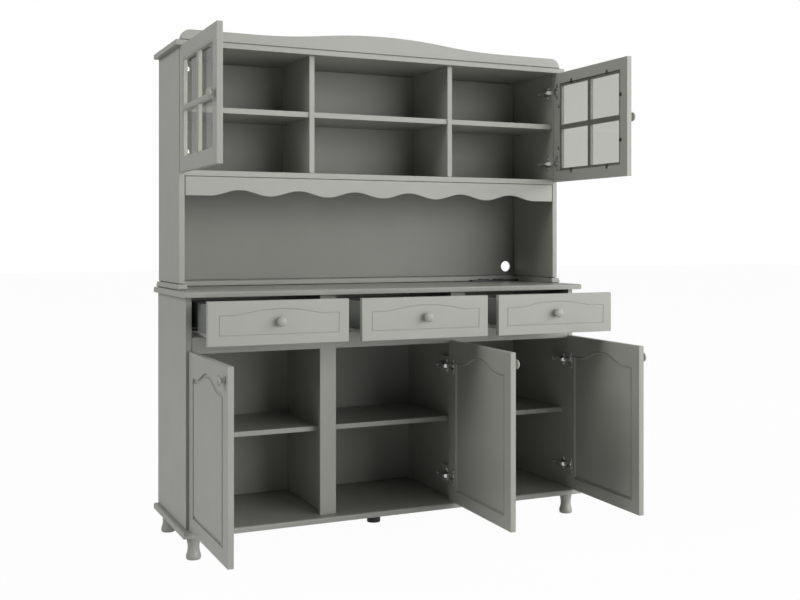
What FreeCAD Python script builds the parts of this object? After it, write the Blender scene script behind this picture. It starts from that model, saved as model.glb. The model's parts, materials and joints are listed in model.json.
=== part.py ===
import FreeCAD
import Part
import Sketcher
import math
import os

# A painted buffet cabinet: a base with three doors and three drawers, and a hutch with two
# glass doors on top. X runs to the right, Y to the back and Z up. The origin is on the floor
# under the centre foot. The doors and drawers stand open, as they do at rest.

DIMENSIONS = {
    # Boards and overall sizes
    "board": 18,
    "case_width": 1400,
    "case_depth": 390,
    "top_overhang": 15,
    "top_front_overhang": 35,
    "foot_height": 72,
    "bottom_edge_round": 6,
    "counter_top_height": 818,
    "counter_edge_round": 5,
    "back_panel_thickness": 4,
    "back_panel_inset": 10,
    # Base front
    "stile_width": 55,
    "drawer_opening_height": 123,
    "rail_height": 51,
    "lower_shelf_height": 265,
    "lower_shelf_thickness": 16,
    "lower_shelf_setback": 40,
    "shelf_play": 0.5,
    "shelf_pin_radius": 2.5,
    "shelf_pin_reach": 7,
    "shelf_pin_inset": 45,
    # Turned feet, a round profile from the top down, and the black foot in the middle
    "foot_inset": 40,
    "foot_collar_radius": 20.7,
    "foot_collar_height": 18,
    "foot_waist_radius": 18.1,
    "foot_waist_height": 33,
    "foot_ball_radius": 23,
    "foot_ball_height": 8,
    "foot_sole_radius": 21.5,
    "centre_foot_radius": 23.2,
    "centre_foot_cap_radius": 27,
    "centre_foot_cap_height": 6,
    # Full overlay gaps and door faces
    "front_gap": 2,
    "overlay": 9,
    "door_floor_gap": 2,
    "panel_groove_width": 13,
    "panel_groove_depth": 6,
    "panel_recess_depth": 4.5,
    "lower_groove_inset": 47,
    "lower_groove_bottom": 45,
    "lower_arch_share": 0.82,
    "lower_arch_shoulder": 75,
    "lower_arch_rise": 33,
    "lower_knob_inset": 28,
    "lower_knob_drop": 39,
    # Door pivots, measured from the hinge edge and from the door's inner face
    "pivot_from_edge": 6,
    "pivot_from_inner_face": 11,
    "left_door_angle": 90.3,
    "middle_door_angle": 87.6,
    "right_door_angle": 87.9,
    "left_glass_door_angle": 90.1,
    "right_glass_door_angle": 90,
    # Cup hinges
    "cup_radius": 17.5,
    "cup_wall": 0.8,
    "cup_clearance": 0.1,
    "cup_from_edge": 19.5,
    "cup_depth": 14.3,
    "cup_flange_thickness": 0.8,
    "cup_flange_width": 12,
    "cup_flange_reach": 27,
    "cup_screw_spread": 22.5,
    "screw_head_radius": 3.5,
    "screw_head_height": 0.8,
    "pin_radius": 1,
    "pin_clearance": 0.05,
    "eye_radius": 2,
    "eye_gap": 0.4,
    "lug_gap": 1.6,
    "arm_thickness": 2,
    "arm_half_height": 3.5,
    "arm_reach": 13.5,
    "arm_cover_half_height": 6,
    "pedestal_height": 16,
    "pedestal_setback": 12,
    "plate_thickness": 2,
    "plate_half_width": 8,
    "plate_wing_half_height": 24,
    "plate_wing_setback": 22,
    "plate_wing_width": 15,
    "plate_length": 52,
    "lower_hinge_from_top": 88,
    "lower_hinge_from_bottom": 81,
    # Drawers
    "drawer_front_gap": 1.5,
    "drawer_closed_gap": 1,
    "left_drawer_open": 206.4,
    "middle_drawer_open": 221.6,
    "right_drawer_open": 227,
    "drawer_groove_width": 4,
    "drawer_groove_depth": 1.5,
    "drawer_groove_inset": 31,
    "drawer_groove_bottom": 28,
    "drawer_arch_share": 0.68,
    "drawer_arch_shoulder": 91,
    "drawer_arch_rise": 16,
    "drawer_back_room": 26,
    "drawer_side_clearance": 20,
    "drawer_side_thickness": 12,
    "drawer_box_lift": 9,
    "drawer_box_drop": 18,
    "drawer_floor_thickness": 3,
    "drawer_floor_rise": 10,
    "drawer_floor_groove": 5,
    # Drawer runners
    "runner_sheet": 1.2,
    "runner_gap": 0.3,
    "runner_setback": 2,
    "channel_height": 11,
    "packer_margin": 6,
    "moving_runner_height": 12,
    "drawer_knob_lift": 2.5,
    # Knobs
    "knob_radius": 15,
    "knob_reach": 24,
    "knob_neck_radius": 7,
    "knob_base_radius": 10,
    "knob_base_reach": 3,
    "knob_head_reach": 12,
    # Hutch
    "hutch_inset": 2,
    "hutch_setback": 98,
    "hutch_side_height": 747,
    "strip_width": 33,
    "strip_overhang": 8,
    "strip_step": 2,
    "strip_step_height": 8,
    "niche_height": 342,
    "hutch_shelf_setback": 4,
    "cornice_overhang": 24,
    "cornice_edge_round": 5,
    "crown_end_radius": 34,
    "crown_end_flat": 214,
    "crown_wave_rise": 27,
    "valance_depth": 62,
    "valance_rise": 19,
    "valance_end_flat": 80,
    "valance_thickness": 12,
    # Glass doors
    "glass_door_width": 441,
    "glass_door_top_gap": 2,
    "glass_partition_overlay": 9,
    "glass_side_gap": 1,
    "frame_member": 48,
    "muntin": 17,
    "rebate_width": 9,
    "pane_thickness": 4,
    "pane_play": 0.5,
    "glass_knob_inset": 20,
    "glass_hinge_from_end": 67,
    "clip_radius": 7,
    "clip_thickness": 2,
    "clip_rise": 75.5,
    "clip_spread_share": 0.485,
    "clip_overlap": 4,
    # Cable hole and outlet bar
    "cable_hole_radius": 20,
    "cable_hole_from_side": 36.5,
    "cable_hole_lift": 37,
    "outlet_length": 203,
    "outlet_width": 16,
    "outlet_height": 6,
    "socket_length": 40,
    "socket_width": 12,
    "socket_rise": 3,
    # One overrun carries every cut past the face that it opens
    "overrun": 2,
}

# Six waves along the valance, and the sockets' places along the outlet bar
WAVES = 6
SOCKET_PLACE_SHARES = (0.27, 0.58)

NEAR = 0.001


class Size:
    """A length or an angle, with the words that bind it to the sheet."""

    def __init__(self, value, words):
        self.value = value
        self.words = words

    def __float__(self):
        return float(self.value)

    def __neg__(self):
        return Size(-self.value, f"(-1 * {self.words})")

    def __add__(self, other):
        other = as_size(other)
        return Size(self.value + other.value, f"({self.words} + {other.words})")

    def __sub__(self, other):
        other = as_size(other)
        return Size(self.value - other.value, f"({self.words} - {other.words})")

    def __mul__(self, other):
        other = as_size(other)
        return Size(self.value * other.value, f"({self.words} * {other.words})")

    def __truediv__(self, other):
        other = as_size(other)
        return Size(self.value / other.value, f"({self.words} / {other.words})")

    def __rmul__(self, other):
        return as_size(other) * self


def as_size(number):
    return number if isinstance(number, Size) else Size(number, repr(number))


ZERO = as_size(0)

doc = FreeCAD.newDocument("BuffetCabinet")
sheet = doc.addObject("Spreadsheet::Sheet", "Sizes")
for row, (alias, number) in enumerate(DIMENSIONS.items(), 1):
    sheet.set(f"A{row}", alias)
    sheet.set(f"B{row}", str(number))
    sheet.setAlias(f"B{row}", alias)
doc.recompute()


class Dimensions:
    """Reads each named cell of the sheet as a Size."""

    def __getattr__(self, alias):
        return Size(sheet.get(alias), f"Sizes.{alias}")


dim = Dimensions()
nodes = []


def bind(thing, path, size):
    thing.setExpression(path, as_size(size).words)


def keep(piece):
    """Lists a finished piece, or group of pieces, as a node of the model."""
    nodes.append(piece)
    return piece


def box(label, x, y, z):
    piece = doc.addObject("Part::Box", label)
    for side, (low, high) in (("Length", x), ("Width", y), ("Height", z)):
        bind(piece, side, high - low)
    for axis, (low, high) in zip("xyz", (x, y, z)):
        bind(piece, f"Placement.Base.{axis}", low)
    return piece


def rod(label, along, centre, radius, low, high):
    """A round bar along Y or Z, at a centre given across and up (or across and back)."""
    piece = doc.addObject("Part::Cylinder", label)
    bind(piece, "Radius", radius)
    bind(piece, "Height", high - low)
    if along == "y":
        piece.Placement.Rotation = FreeCAD.Rotation(FreeCAD.Vector(1, 0, 0), -90)
        place = (centre[0], low, centre[1])
    else:
        place = (centre[0], centre[1], low)
    for axis, spot in zip("xyz", place):
        bind(piece, f"Placement.Base.{axis}", spot)
    return piece


def fuse(label, pieces):
    joined = doc.addObject("Part::MultiFuse", label)
    joined.Shapes = pieces
    return joined


def cut(label, base, tool):
    left_over = doc.addObject("Part::Cut", label)
    left_over.Base = base
    left_over.Tool = tool
    return left_over


def group(label, pieces):
    """Like pieces that share one node, each its own solid."""
    gathered = doc.addObject("Part::Compound", label)
    gathered.Links = pieces
    return gathered


def mirrored(sign, inner, outer):
    """The low and high ends of a stretch on the right (1) or the left (-1)."""
    return (inner, outer) if sign > 0 else (-outer, -inner)


def body(label):
    return doc.addObject("PartDesign::Body", label)


def rectangle(x, y):
    return [(x[0], y[0]), (x[1], y[0]), (x[1], y[1]), (x[0], y[1])]


def arc_between(start, end, radius):
    """A round edge under half a circle: a positive radius turns to the left."""
    chord = end - start
    half = chord.Length / 2
    across = FreeCAD.Vector(-chord.y, chord.x, 0).normalize()
    sink = math.copysign(math.sqrt(radius ** 2 - half ** 2), radius)
    centre = start + chord / 2 + across * sink
    first, last = (start, end) if radius > 0 else (end, start)
    angles = [math.atan2(point.y - centre.y, point.x - centre.x) for point in (first, last)]
    circle = Part.Circle(centre, FreeCAD.Vector(0, 0, 1), abs(radius))
    return Part.ArcOfCircle(circle, angles[0], angles[1])


def draw(sketch, outline):
    """Draws a closed outline. A corner's third value is the radius of the edge after it."""
    if isinstance(outline, dict):
        ring = sketch.addGeometry(Part.Circle(FreeCAD.Vector(), FreeCAD.Vector(0, 0, 1),
                                              float(outline["radius"])))
        sketch.addConstraint(Sketcher.Constraint("Coincident", ring, 3, -1, 1))
        held = sketch.addConstraint(Sketcher.Constraint("Radius", ring, float(outline["radius"])))
        bind(sketch, f"Constraints[{held}]", outline["radius"])
        return
    corners = [FreeCAD.Vector(float(corner[0]), float(corner[1]), 0) for corner in outline]
    edges = []
    for number, corner in enumerate(outline):
        start = corners[number]
        end = corners[(number + 1) % len(corners)]
        radius = corner[2] if len(corner) > 2 else None
        if radius is None:
            edge = sketch.addGeometry(Part.LineSegment(start, end))
            edges.append((edge, 1, 2))
            continue
        edge = sketch.addGeometry(arc_between(start, end, float(radius)))
        edges.append((edge, 1, 2) if float(radius) > 0 else (edge, 2, 1))
        held = sketch.addConstraint(Sketcher.Constraint("Radius", edge, abs(float(radius))))
        bind(sketch, f"Constraints[{held}]", radius if float(radius) > 0 else -radius)
    for number, (edge, start, end) in enumerate(edges):
        follower, follower_start, _ = edges[(number + 1) % len(edges)]
        sketch.addConstraint(Sketcher.Constraint("Coincident", edge, end, follower, follower_start))
        for kind, spot in zip(("DistanceX", "DistanceY"), outline[number]):
            held = sketch.addConstraint(Sketcher.Constraint(kind, edge, start, float(spot)))
            bind(sketch, f"Constraints[{held}]", spot)


def sketch_on(owner, plane, outlines, offset=(ZERO, ZERO, ZERO)):
    """A sketch on one of the body's own planes, moved by an offset in the sketch's axes."""
    sketch = owner.newObject("Sketcher::SketchObject", f"{owner.Name}_sketch")
    support = next(item for item in owner.Origin.OriginFeatures if item.Role == f"{plane}_Plane")
    sketch.AttachmentSupport = [(support, "")]
    sketch.MapMode = "FlatFace"
    for axis, distance in zip("xyz", offset):
        bind(sketch, f"AttachmentOffset.Base.{axis}", distance)
    for outline in outlines:
        draw(sketch, outline)
    return sketch


def pad(owner, plane, outlines, low, high, across=ZERO, up=ZERO):
    """Adds the outlines' prism from low to high along the plane's axis (X, Y or Z)."""
    level = -high if plane == "XZ" else low
    feature = owner.newObject("PartDesign::Pad", f"{owner.Name}_pad")
    feature.Profile = sketch_on(owner, plane, outlines, (across, up, level))
    bind(feature, "Length", high - low)
    return feature


def pocket(owner, plane, outlines, low, high, across=ZERO, up=ZERO):
    """Cuts the outlines' prism from low to high along the plane's axis."""
    doc.recompute()
    before = owner.Shape.Volume
    level = -low if plane == "XZ" else high
    feature = owner.newObject("PartDesign::Pocket", f"{owner.Name}_pocket")
    feature.Profile = sketch_on(owner, plane, outlines, (across, up, level))
    bind(feature, "Length", high - low)
    doc.recompute()
    if owner.Shape.Volume > before - NEAR:
        raise RuntimeError(f"{owner.Label}: a pocket cuts nothing")
    return feature


def revolve(owner, plane, outline, offset):
    """Turns a half outline around the sketch's upright axis."""
    sketch = sketch_on(owner, plane, [outline], offset)
    feature = owner.newObject("PartDesign::Revolution", f"{owner.Name}_turned")
    feature.Profile = sketch
    feature.ReferenceAxis = (sketch, ["V_Axis"])
    feature.Angle = 360
    return feature


def round_edges(owner, radius, chosen):
    """Rounds the edges whose middle passes the test."""
    doc.recompute()
    base = owner.Tip
    names = [f"Edge{number}" for number, edge in enumerate(base.Shape.Edges, 1)
             if chosen(edge.CenterOfMass)]
    feature = owner.newObject("PartDesign::Fillet", f"{owner.Name}_round")
    feature.Base = (base, names)
    bind(feature, "Radius", radius)
    return feature


def wave_radius(half_length, rise):
    """The radius of two like arcs that climb one rise over half a wave without a kink."""
    return (half_length * half_length + rise * rise) / (4 * rise)


# Levels and lines that several pieces share. Depth counts from the base's front plane.

half_case = dim.case_width / 2
inner_half_case = half_case - dim.board
total_depth = dim.case_depth + dim.top_front_overhang
back = total_depth / 2
front = back - dim.case_depth
top_front = front - dim.top_front_overhang
half_top = half_case + dim.top_overhang
panel_back = back - dim.back_panel_inset
panel_front = panel_back - dim.back_panel_thickness
bottom_top = dim.foot_height + dim.board
counter_underside = dim.counter_top_height - dim.board
opening_width = (inner_half_case - dim.stile_width) * 2 / 3
half_opening = opening_width / 2
stile_outer = half_opening + dim.stile_width
bay_spacing = opening_width + dim.stile_width
partition_inner = half_opening + (dim.stile_width - dim.board) / 2
partition_outer = partition_inner + dim.board
rail_top = counter_underside - dim.drawer_opening_height
rail_bottom = rail_top - dim.rail_height
lower_shelf_underside = bottom_top + dim.lower_shelf_height
hutch_low = dim.counter_top_height + dim.board
hutch_side_top = hutch_low + dim.hutch_side_height
half_hutch = half_case - dim.hutch_inset
inner_half_hutch = half_hutch - dim.board
hutch_front = front + dim.hutch_setback
SIDES = (("left", -1), ("right", 1))
BAYS = (("left", -1), ("middle", 0), ("right", 1))


# Base case: bottom board, two sides, two partitions, a thin back, and the counter.

bottom_board = keep(body("bottom_board"))
pad(bottom_board, "XY", [rectangle((-half_top, half_top), (top_front, back))],
    dim.foot_height, bottom_top)
round_edges(bottom_board, dim.bottom_edge_round,
            lambda middle: abs(middle.z - float(bottom_top)) < NEAR
            and middle.y < float(back) - NEAR)

counter_top = keep(body("counter_top"))
pad(counter_top, "XY", [rectangle((-half_top, half_top), (top_front, back))],
    counter_underside, dim.counter_top_height)
round_edges(counter_top, dim.counter_edge_round,
            lambda middle: abs(middle.z - float(dim.counter_top_height)) < NEAR
            and middle.y < float(back) - NEAR)

for name, sign in SIDES:
    keep(box(f"base_side_{name}", mirrored(sign, inner_half_case, half_case), (front, back),
             (bottom_top, counter_underside)))
    keep(box(f"base_partition_{name}", mirrored(sign, partition_inner, partition_outer),
             (front + dim.board, panel_front), (bottom_top, counter_underside)))
keep(box("base_back_panel", (-inner_half_case, inner_half_case), (panel_front, panel_back),
         (bottom_top, counter_underside)))


# Face frame: two upright stiles in front of the partitions, and three rails in one line.

keep(group("face_stiles", [
    box(f"face_stile_{name}", mirrored(sign, half_opening, stile_outer),
        (front, front + dim.board), (bottom_top, counter_underside))
    for name, sign in SIDES]))
keep(group("face_rails", [
    box(f"face_rail_{name}", (sign * bay_spacing - half_opening, sign * bay_spacing + half_opening),
        (front, front + dim.board), (rail_bottom, rail_top))
    for name, sign in BAYS]))


# Lower shelves: one board in each bay, resting on four pins in the case.

shelf_top = lower_shelf_underside + dim.lower_shelf_thickness
shelf_ends = {-1: (-inner_half_case, -partition_outer), 0: (-partition_inner, partition_inner),
              1: (partition_outer, inner_half_case)}
shelf_front = front + dim.lower_shelf_setback
keep(group("lower_shelves", [
    box(f"lower_shelf_{name}", (shelf_ends[sign][0] + dim.shelf_play,
                                shelf_ends[sign][1] - dim.shelf_play),
        (shelf_front, panel_front - dim.shelf_play), (lower_shelf_underside, shelf_top))
    for name, sign in BAYS]))


def pins(label, ends, underside, shelf_edge):
    """Four pins under one shelf, each standing out of the board at its end."""
    pin_depths = (shelf_edge + dim.shelf_pin_inset, panel_front - dim.shelf_pin_inset)
    made = []
    for inward, end in ((1, ends[0]), (-1, ends[1])):
        across = mirrored(inward, ZERO, dim.shelf_pin_reach)
        for number, depth in enumerate(pin_depths):
            made.append(box(f"{label}_{len(made)}", (end + across[0], end + across[1]),
                            (depth - dim.shelf_pin_radius, depth + dim.shelf_pin_radius),
                            (underside - 2 * dim.shelf_pin_radius, underside)))
    return made


# Feet: four turned ones near the corners, and a plain black one under the middle.

foot_top = dim.foot_height
ball_top = dim.foot_ball_height * 2
foot_outline = [
    (ZERO, ZERO), (dim.foot_sole_radius, ZERO),
    (dim.foot_ball_radius, dim.foot_ball_height),
    (dim.foot_ball_radius - (dim.foot_ball_radius - dim.foot_waist_radius) / 4, ball_top,
     -(dim.foot_waist_height + dim.foot_height)),
    (dim.foot_waist_radius, dim.foot_waist_height, -(dim.foot_waist_height + dim.foot_height)),
    (dim.foot_collar_radius, foot_top - dim.foot_collar_height),
    (dim.foot_collar_radius, foot_top), (ZERO, foot_top)]
feet = []
for side_name, sign in SIDES:
    for end_name, end in (("front", -1), ("back", 1)):
        foot = body(f"foot_{end_name}_{side_name}")
        depth = end * (back - dim.foot_inset)
        revolve(foot, "XZ", foot_outline, (sign * (half_top - dim.foot_inset), ZERO, -depth))
        feet.append(foot)
keep(group("turned_feet", feet))

centre_foot = keep(body("centre_foot"))
cap_bottom = foot_top - dim.centre_foot_cap_height
revolve(centre_foot, "XZ",
        [(ZERO, ZERO), (dim.centre_foot_radius, ZERO), (dim.centre_foot_radius, cap_bottom),
         (dim.centre_foot_cap_radius, cap_bottom), (dim.centre_foot_cap_radius, foot_top),
         (ZERO, foot_top)], (ZERO, ZERO, ZERO))


# Drawer runners: a moving rail under each drawer side hangs its lip in a channel on the case.
# Strips of wood pack the channels and the middle door's hinges out to the stiles' edges.

box_half_width = half_opening - dim.drawer_side_clearance
box_low = rail_top + dim.drawer_box_lift
box_high = counter_underside - dim.drawer_box_drop
box_length = panel_front - front - dim.drawer_back_room
lip_top = box_low + dim.moving_runner_height
lip_underside = lip_top - dim.runner_sheet
channel_floor = lip_underside - dim.runner_gap
channel_bottom = channel_floor - dim.runner_sheet
channel_top = channel_bottom + dim.channel_height
runner_back = front + box_length
channel_front = front + dim.runner_setback
channel_edge = box_half_width + dim.runner_sheet + 2 * dim.runner_gap
channel_web = half_opening - dim.runner_sheet


def channel_outline(centre, sign):
    """A channel open towards the drawer, with its web on the case."""
    across = [(half_opening, channel_bottom), (half_opening, channel_top),
              (channel_edge, channel_top), (channel_edge, channel_top - dim.runner_sheet),
              (channel_web, channel_top - dim.runner_sheet), (channel_web, channel_floor),
              (channel_edge, channel_floor), (channel_edge, channel_bottom)]
    return [(centre + sign * x, z) for x, z in across]


def moving_rail_outline(centre, sign):
    """A foot under the drawer side, a leg up its outer face, and a lip in the channel."""
    leg = box_half_width + dim.runner_sheet
    lip_edge = channel_web - 2 * dim.runner_gap
    foot_edge = box_half_width - dim.drawer_side_thickness
    foot_underside = box_low - dim.runner_sheet
    across = [(foot_edge, foot_underside), (leg, foot_underside), (leg, lip_underside),
              (lip_edge, lip_underside), (lip_edge, lip_top), (box_half_width, lip_top),
              (box_half_width, box_low), (foot_edge, box_low)]
    return [(centre + sign * x, z) for x, z in across]


channels = []
packers = []
for bay_name, bay in BAYS:
    for side_name, sign in SIDES:
        channel = body(f"channel_{bay_name}_{side_name}")
        pad(channel, "XZ", [channel_outline(bay * bay_spacing, sign)], channel_front, runner_back)
        channels.append(channel)
for side_name, sign in SIDES:
    for gap_name, near, far in (("inner", half_opening, partition_inner),
                                ("outer", partition_outer, stile_outer)):
        packers.append(box(f"packer_{gap_name}_{side_name}", mirrored(sign, near, far),
                           (front + dim.board, runner_back),
                           (channel_bottom - dim.packer_margin, channel_top + dim.packer_margin)))
keep(group("fixed_runners", channels))


# Cup hinges. The door's pivot lies in the cup, and each piece is laid out from that pivot:
# X across the door from its hinge edge, Y towards the case while the door is shut.

inner_face = dim.pivot_from_inner_face
outer_face = inner_face - dim.board
hinge_edge = -dim.pivot_from_edge
case_plane = inner_face + dim.front_gap
cup_centre = dim.cup_from_edge - dim.pivot_from_edge
cup_floor = inner_face - dim.cup_depth
base_wall = dim.overlay - dim.pivot_from_edge


def along(hand, low, high):
    return mirrored(hand, low, high)


def hinge_arm(label, pivot, hand, wall, height):
    """The fixed half: an eye on the pin, an arm with a broad nose, and a plate on the wall."""
    half = dim.arm_thickness / 2
    knee = dim.arm_reach
    tail_line = wall + dim.plate_thickness + dim.pedestal_height + half
    plate_front = case_plane + dim.plate_wing_setback
    plate_back = plate_front + dim.plate_length
    crank_back = case_plane + dim.arm_thickness * 2
    top = wall + dim.plate_thickness

    def block(name, x, y, half_height):
        stretch = along(hand, x[0], x[1])
        return box(f"{label}_{name}", (pivot[0] + stretch[0], pivot[0] + stretch[1]),
                   (pivot[1] + y[0], pivot[1] + y[1]), (height - half_height, height + half_height))

    pieces = [
        rod(f"{label}_eye", "z", pivot, dim.eye_radius, height - dim.arm_half_height,
            height + dim.arm_half_height),
        block("link", (ZERO, knee + half), (-half, half), dim.arm_half_height),
        block("neck", (knee - half, knee + half), (-half, crank_back), dim.arm_half_height),
        block("nose", (wall, tail_line + half), (crank_back - dim.arm_thickness, crank_back),
              dim.arm_cover_half_height),
        block("tail", (tail_line - half, tail_line + half),
              (crank_back - dim.arm_thickness, plate_back), dim.arm_cover_half_height),
        block("pedestal", (top, tail_line - half), (plate_front, plate_back - dim.pedestal_setback),
              dim.arm_half_height),
        block("plate", (wall, top), (plate_front, plate_back), dim.plate_half_width),
        block("wings", (wall, top), (plate_front, plate_front + dim.plate_wing_width),
              dim.plate_wing_half_height)]
    hole = rod(f"{label}_hole", "z", pivot, dim.pin_radius + dim.pin_clearance,
               height - dim.arm_cover_half_height, height + dim.arm_cover_half_height)
    return cut(label, fuse(f"{label}_metal", pieces), hole)


def hinge_cup(label, hand, height):
    """The half in the door: a cup with a flange, its screws, and the pin between two lugs."""
    centre = hand * cup_centre
    hollow = dim.cup_radius - dim.cup_wall
    flange_top = inner_face + dim.cup_flange_thickness
    slot_half = dim.arm_half_height + dim.lug_gap
    lug_edge = dim.eye_radius + dim.lug_gap / 2
    lug_half = (hollow * hollow - (cup_centre - lug_edge) * (cup_centre - lug_edge))
    made = body(label)
    disc = {"radius": dim.cup_radius}
    pad(made, "XZ", [disc], cup_floor, inner_face, centre, height)
    pad(made, "XZ", [disc], inner_face, flange_top, centre, height)
    wing_x = (ZERO, dim.cup_flange_width)
    pad(made, "XZ", [rectangle([hand * x for x in wing_x],
                               (-dim.cup_flange_reach, dim.cup_flange_reach))],
        inner_face, flange_top, centre, height)
    slot_end = -(dim.eye_radius + dim.eye_gap)
    chord = root(lug_half)
    mouth = [(slot_end - cup_centre, -slot_half), (lug_edge - cup_centre, -slot_half),
             (lug_edge - cup_centre, -chord, hollow), (hollow, ZERO, hollow),
             (lug_edge - cup_centre, chord), (lug_edge - cup_centre, slot_half),
             (slot_end - cup_centre, slot_half)]
    mouth = [(hand * corner[0], corner[1]) + tuple(hand * radius for radius in corner[2:])
             for corner in mouth]
    pocket(made, "XZ", [mouth], cup_floor + dim.cup_wall, flange_top + dim.overrun, centre, height)
    for up in (-1, 1):
        pad(made, "XZ", [{"radius": dim.screw_head_radius}], flange_top,
            flange_top + dim.screw_head_height, centre + hand * dim.cup_flange_width / 2,
            height + up * dim.cup_screw_spread)
    pad(made, "XY", [{"radius": dim.pin_radius}], height - slot_half - dim.lug_gap / 2,
        height + slot_half + dim.lug_gap / 2)
    return made


def root(size):
    return Size(math.sqrt(size.value), f"sqrt({size.words})")


def knob(label, across, face, height):
    """A turned knob with a small foot, a neck and a domed head, standing out towards -Y."""
    made = body(label)
    head_start = dim.knob_head_reach
    outline = [
        (ZERO, ZERO), (dim.knob_base_radius, ZERO), (dim.knob_base_radius, -dim.knob_base_reach),
        (dim.knob_neck_radius, -2 * dim.knob_base_reach),
        (dim.knob_neck_radius, -(dim.knob_base_reach + head_start) / 2, -dim.knob_neck_radius * 2),
        (dim.knob_radius, -head_start - dim.knob_base_reach, -dim.knob_radius),
        (ZERO, -dim.knob_reach)]
    revolve(made, "XY", outline, (across, face, height))
    return made


def hang(piece, pivot, hand, angle):
    """Turns a piece that was laid out from the pivot to the door's open place."""
    piece.Placement.Rotation = FreeCAD.Rotation(FreeCAD.Vector(0, 0, -hand), float(angle))
    bind(piece, "Placement.Rotation.Angle", angle)
    bind(piece, "Placement.Base.x", pivot[0])
    bind(piece, "Placement.Base.y", pivot[1])
    return keep(piece)


def arched_outline(centre, half_width, low, shoulder, arch_half_width, rise, inset):
    """A panel line with a cathedral arch on top, moved in by an inset."""
    radius = wave_radius(arch_half_width, rise)
    slope_x = arch_half_width / 2 * (radius - inset) / radius
    slope_z = shoulder + rise / 2 - inset * (radius - rise / 2) / radius
    right = half_width - inset
    level = shoulder - inset
    return [(centre - right, low + inset), (centre + right, low + inset), (centre + right, level),
            (centre + arch_half_width, level, -(radius + inset)),
            (centre + slope_x, slope_z, radius - inset),
            (centre - slope_x, slope_z, -(radius + inset)),
            (centre - arch_half_width, level), (centre - right, level)]


# Lower doors: a flush slab with an arched groove on its face and a recess of the same
# outline on its back, two cups and a knob.

base_pivot_depth = front - case_plane
base_pivot_across = half_opening + dim.overlay - dim.pivot_from_edge
side_pivot_across = inner_half_case + dim.overlay - dim.pivot_from_edge
door_width = opening_width + 2 * dim.overlay
door_low = bottom_top + dim.door_floor_gap
door_high = rail_bottom + dim.overlay
lower_hinges = (door_high - dim.lower_hinge_from_top, door_low + dim.lower_hinge_from_bottom)
LOWER_DOORS = (
    ("left", 1, (-side_pivot_across, base_pivot_depth), dim.left_door_angle),
    ("middle", -1, (base_pivot_across, base_pivot_depth), dim.middle_door_angle),
    ("right", -1, (side_pivot_across, base_pivot_depth), dim.right_door_angle))


def cup_pockets(door, hand, heights):
    for height in heights:
        pocket(door, "XZ", [{"radius": dim.cup_radius + dim.cup_clearance}],
               cup_floor - dim.cup_clearance, inner_face + dim.overrun, hand * cup_centre, height)


arms = []
for name, hand, pivot, angle in LOWER_DOORS:
    free_edge = hinge_edge + door_width
    centre = hand * (hinge_edge + door_width / 2)
    door = body(f"lower_door_{name}")
    pad(door, "XZ", [rectangle((hand * hinge_edge, hand * free_edge),
                               (door_low, door_high))],
        outer_face, inner_face)
    panel_half = door_width / 2 - dim.lower_groove_inset
    lines = [arched_outline(centre, panel_half, door_low + dim.lower_groove_bottom,
                            door_high - dim.lower_arch_shoulder,
                            panel_half * dim.lower_arch_share, dim.lower_arch_rise, inset)
             for inset in (ZERO, dim.panel_groove_width)]
    pocket(door, "XZ", lines, outer_face - dim.overrun, outer_face + dim.panel_groove_depth)
    pocket(door, "XZ", [lines[0]], inner_face - dim.panel_recess_depth, inner_face + dim.overrun)
    cup_pockets(door, hand, lower_hinges)
    hang(door, pivot, hand, angle)
    cups = [hinge_cup(f"lower_cup_{name}_{number}", hand, height)
            for number, height in enumerate(lower_hinges)]
    hang(group(f"lower_hinge_cups_{name}", cups), pivot, hand, angle)
    hang(knob(f"lower_knob_{name}", hand * (free_edge - dim.lower_knob_inset), outer_face,
              door_high - dim.lower_knob_drop), pivot, hand, angle)
    for number, height in enumerate(lower_hinges):
        arms.append(hinge_arm(f"lower_arm_{name}_{number}", pivot, hand, base_wall, height))
for number, height in enumerate(lower_hinges):
    margin = dim.plate_wing_half_height + dim.packer_margin
    packers.append(box(f"packer_hinge_{number}", (half_opening, partition_inner),
                       (front + dim.board, base_pivot_depth + case_plane + dim.plate_wing_setback
                        + dim.plate_length + dim.packer_margin),
                       (height - margin, height + margin)))
keep(group("packers", packers))


# Drawers: a grooved front, and behind it two sides, a back and a thin bottom let into the sides.

def bowed_outline(centre, half_width, low, shoulder, bow_half_width, rise, inset):
    """A panel line with one flat bow on top, moved in by an inset."""
    radius = (bow_half_width * bow_half_width + rise * rise) / (2 * rise)
    reach = root(rise * (2 * radius - rise - 2 * inset))
    right = half_width - inset
    level = shoulder - inset
    return [(centre - right, low + inset), (centre + right, low + inset), (centre + right, level),
            (centre + reach, level, radius - inset), (centre - reach, level),
            (centre - right, level)]


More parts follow.
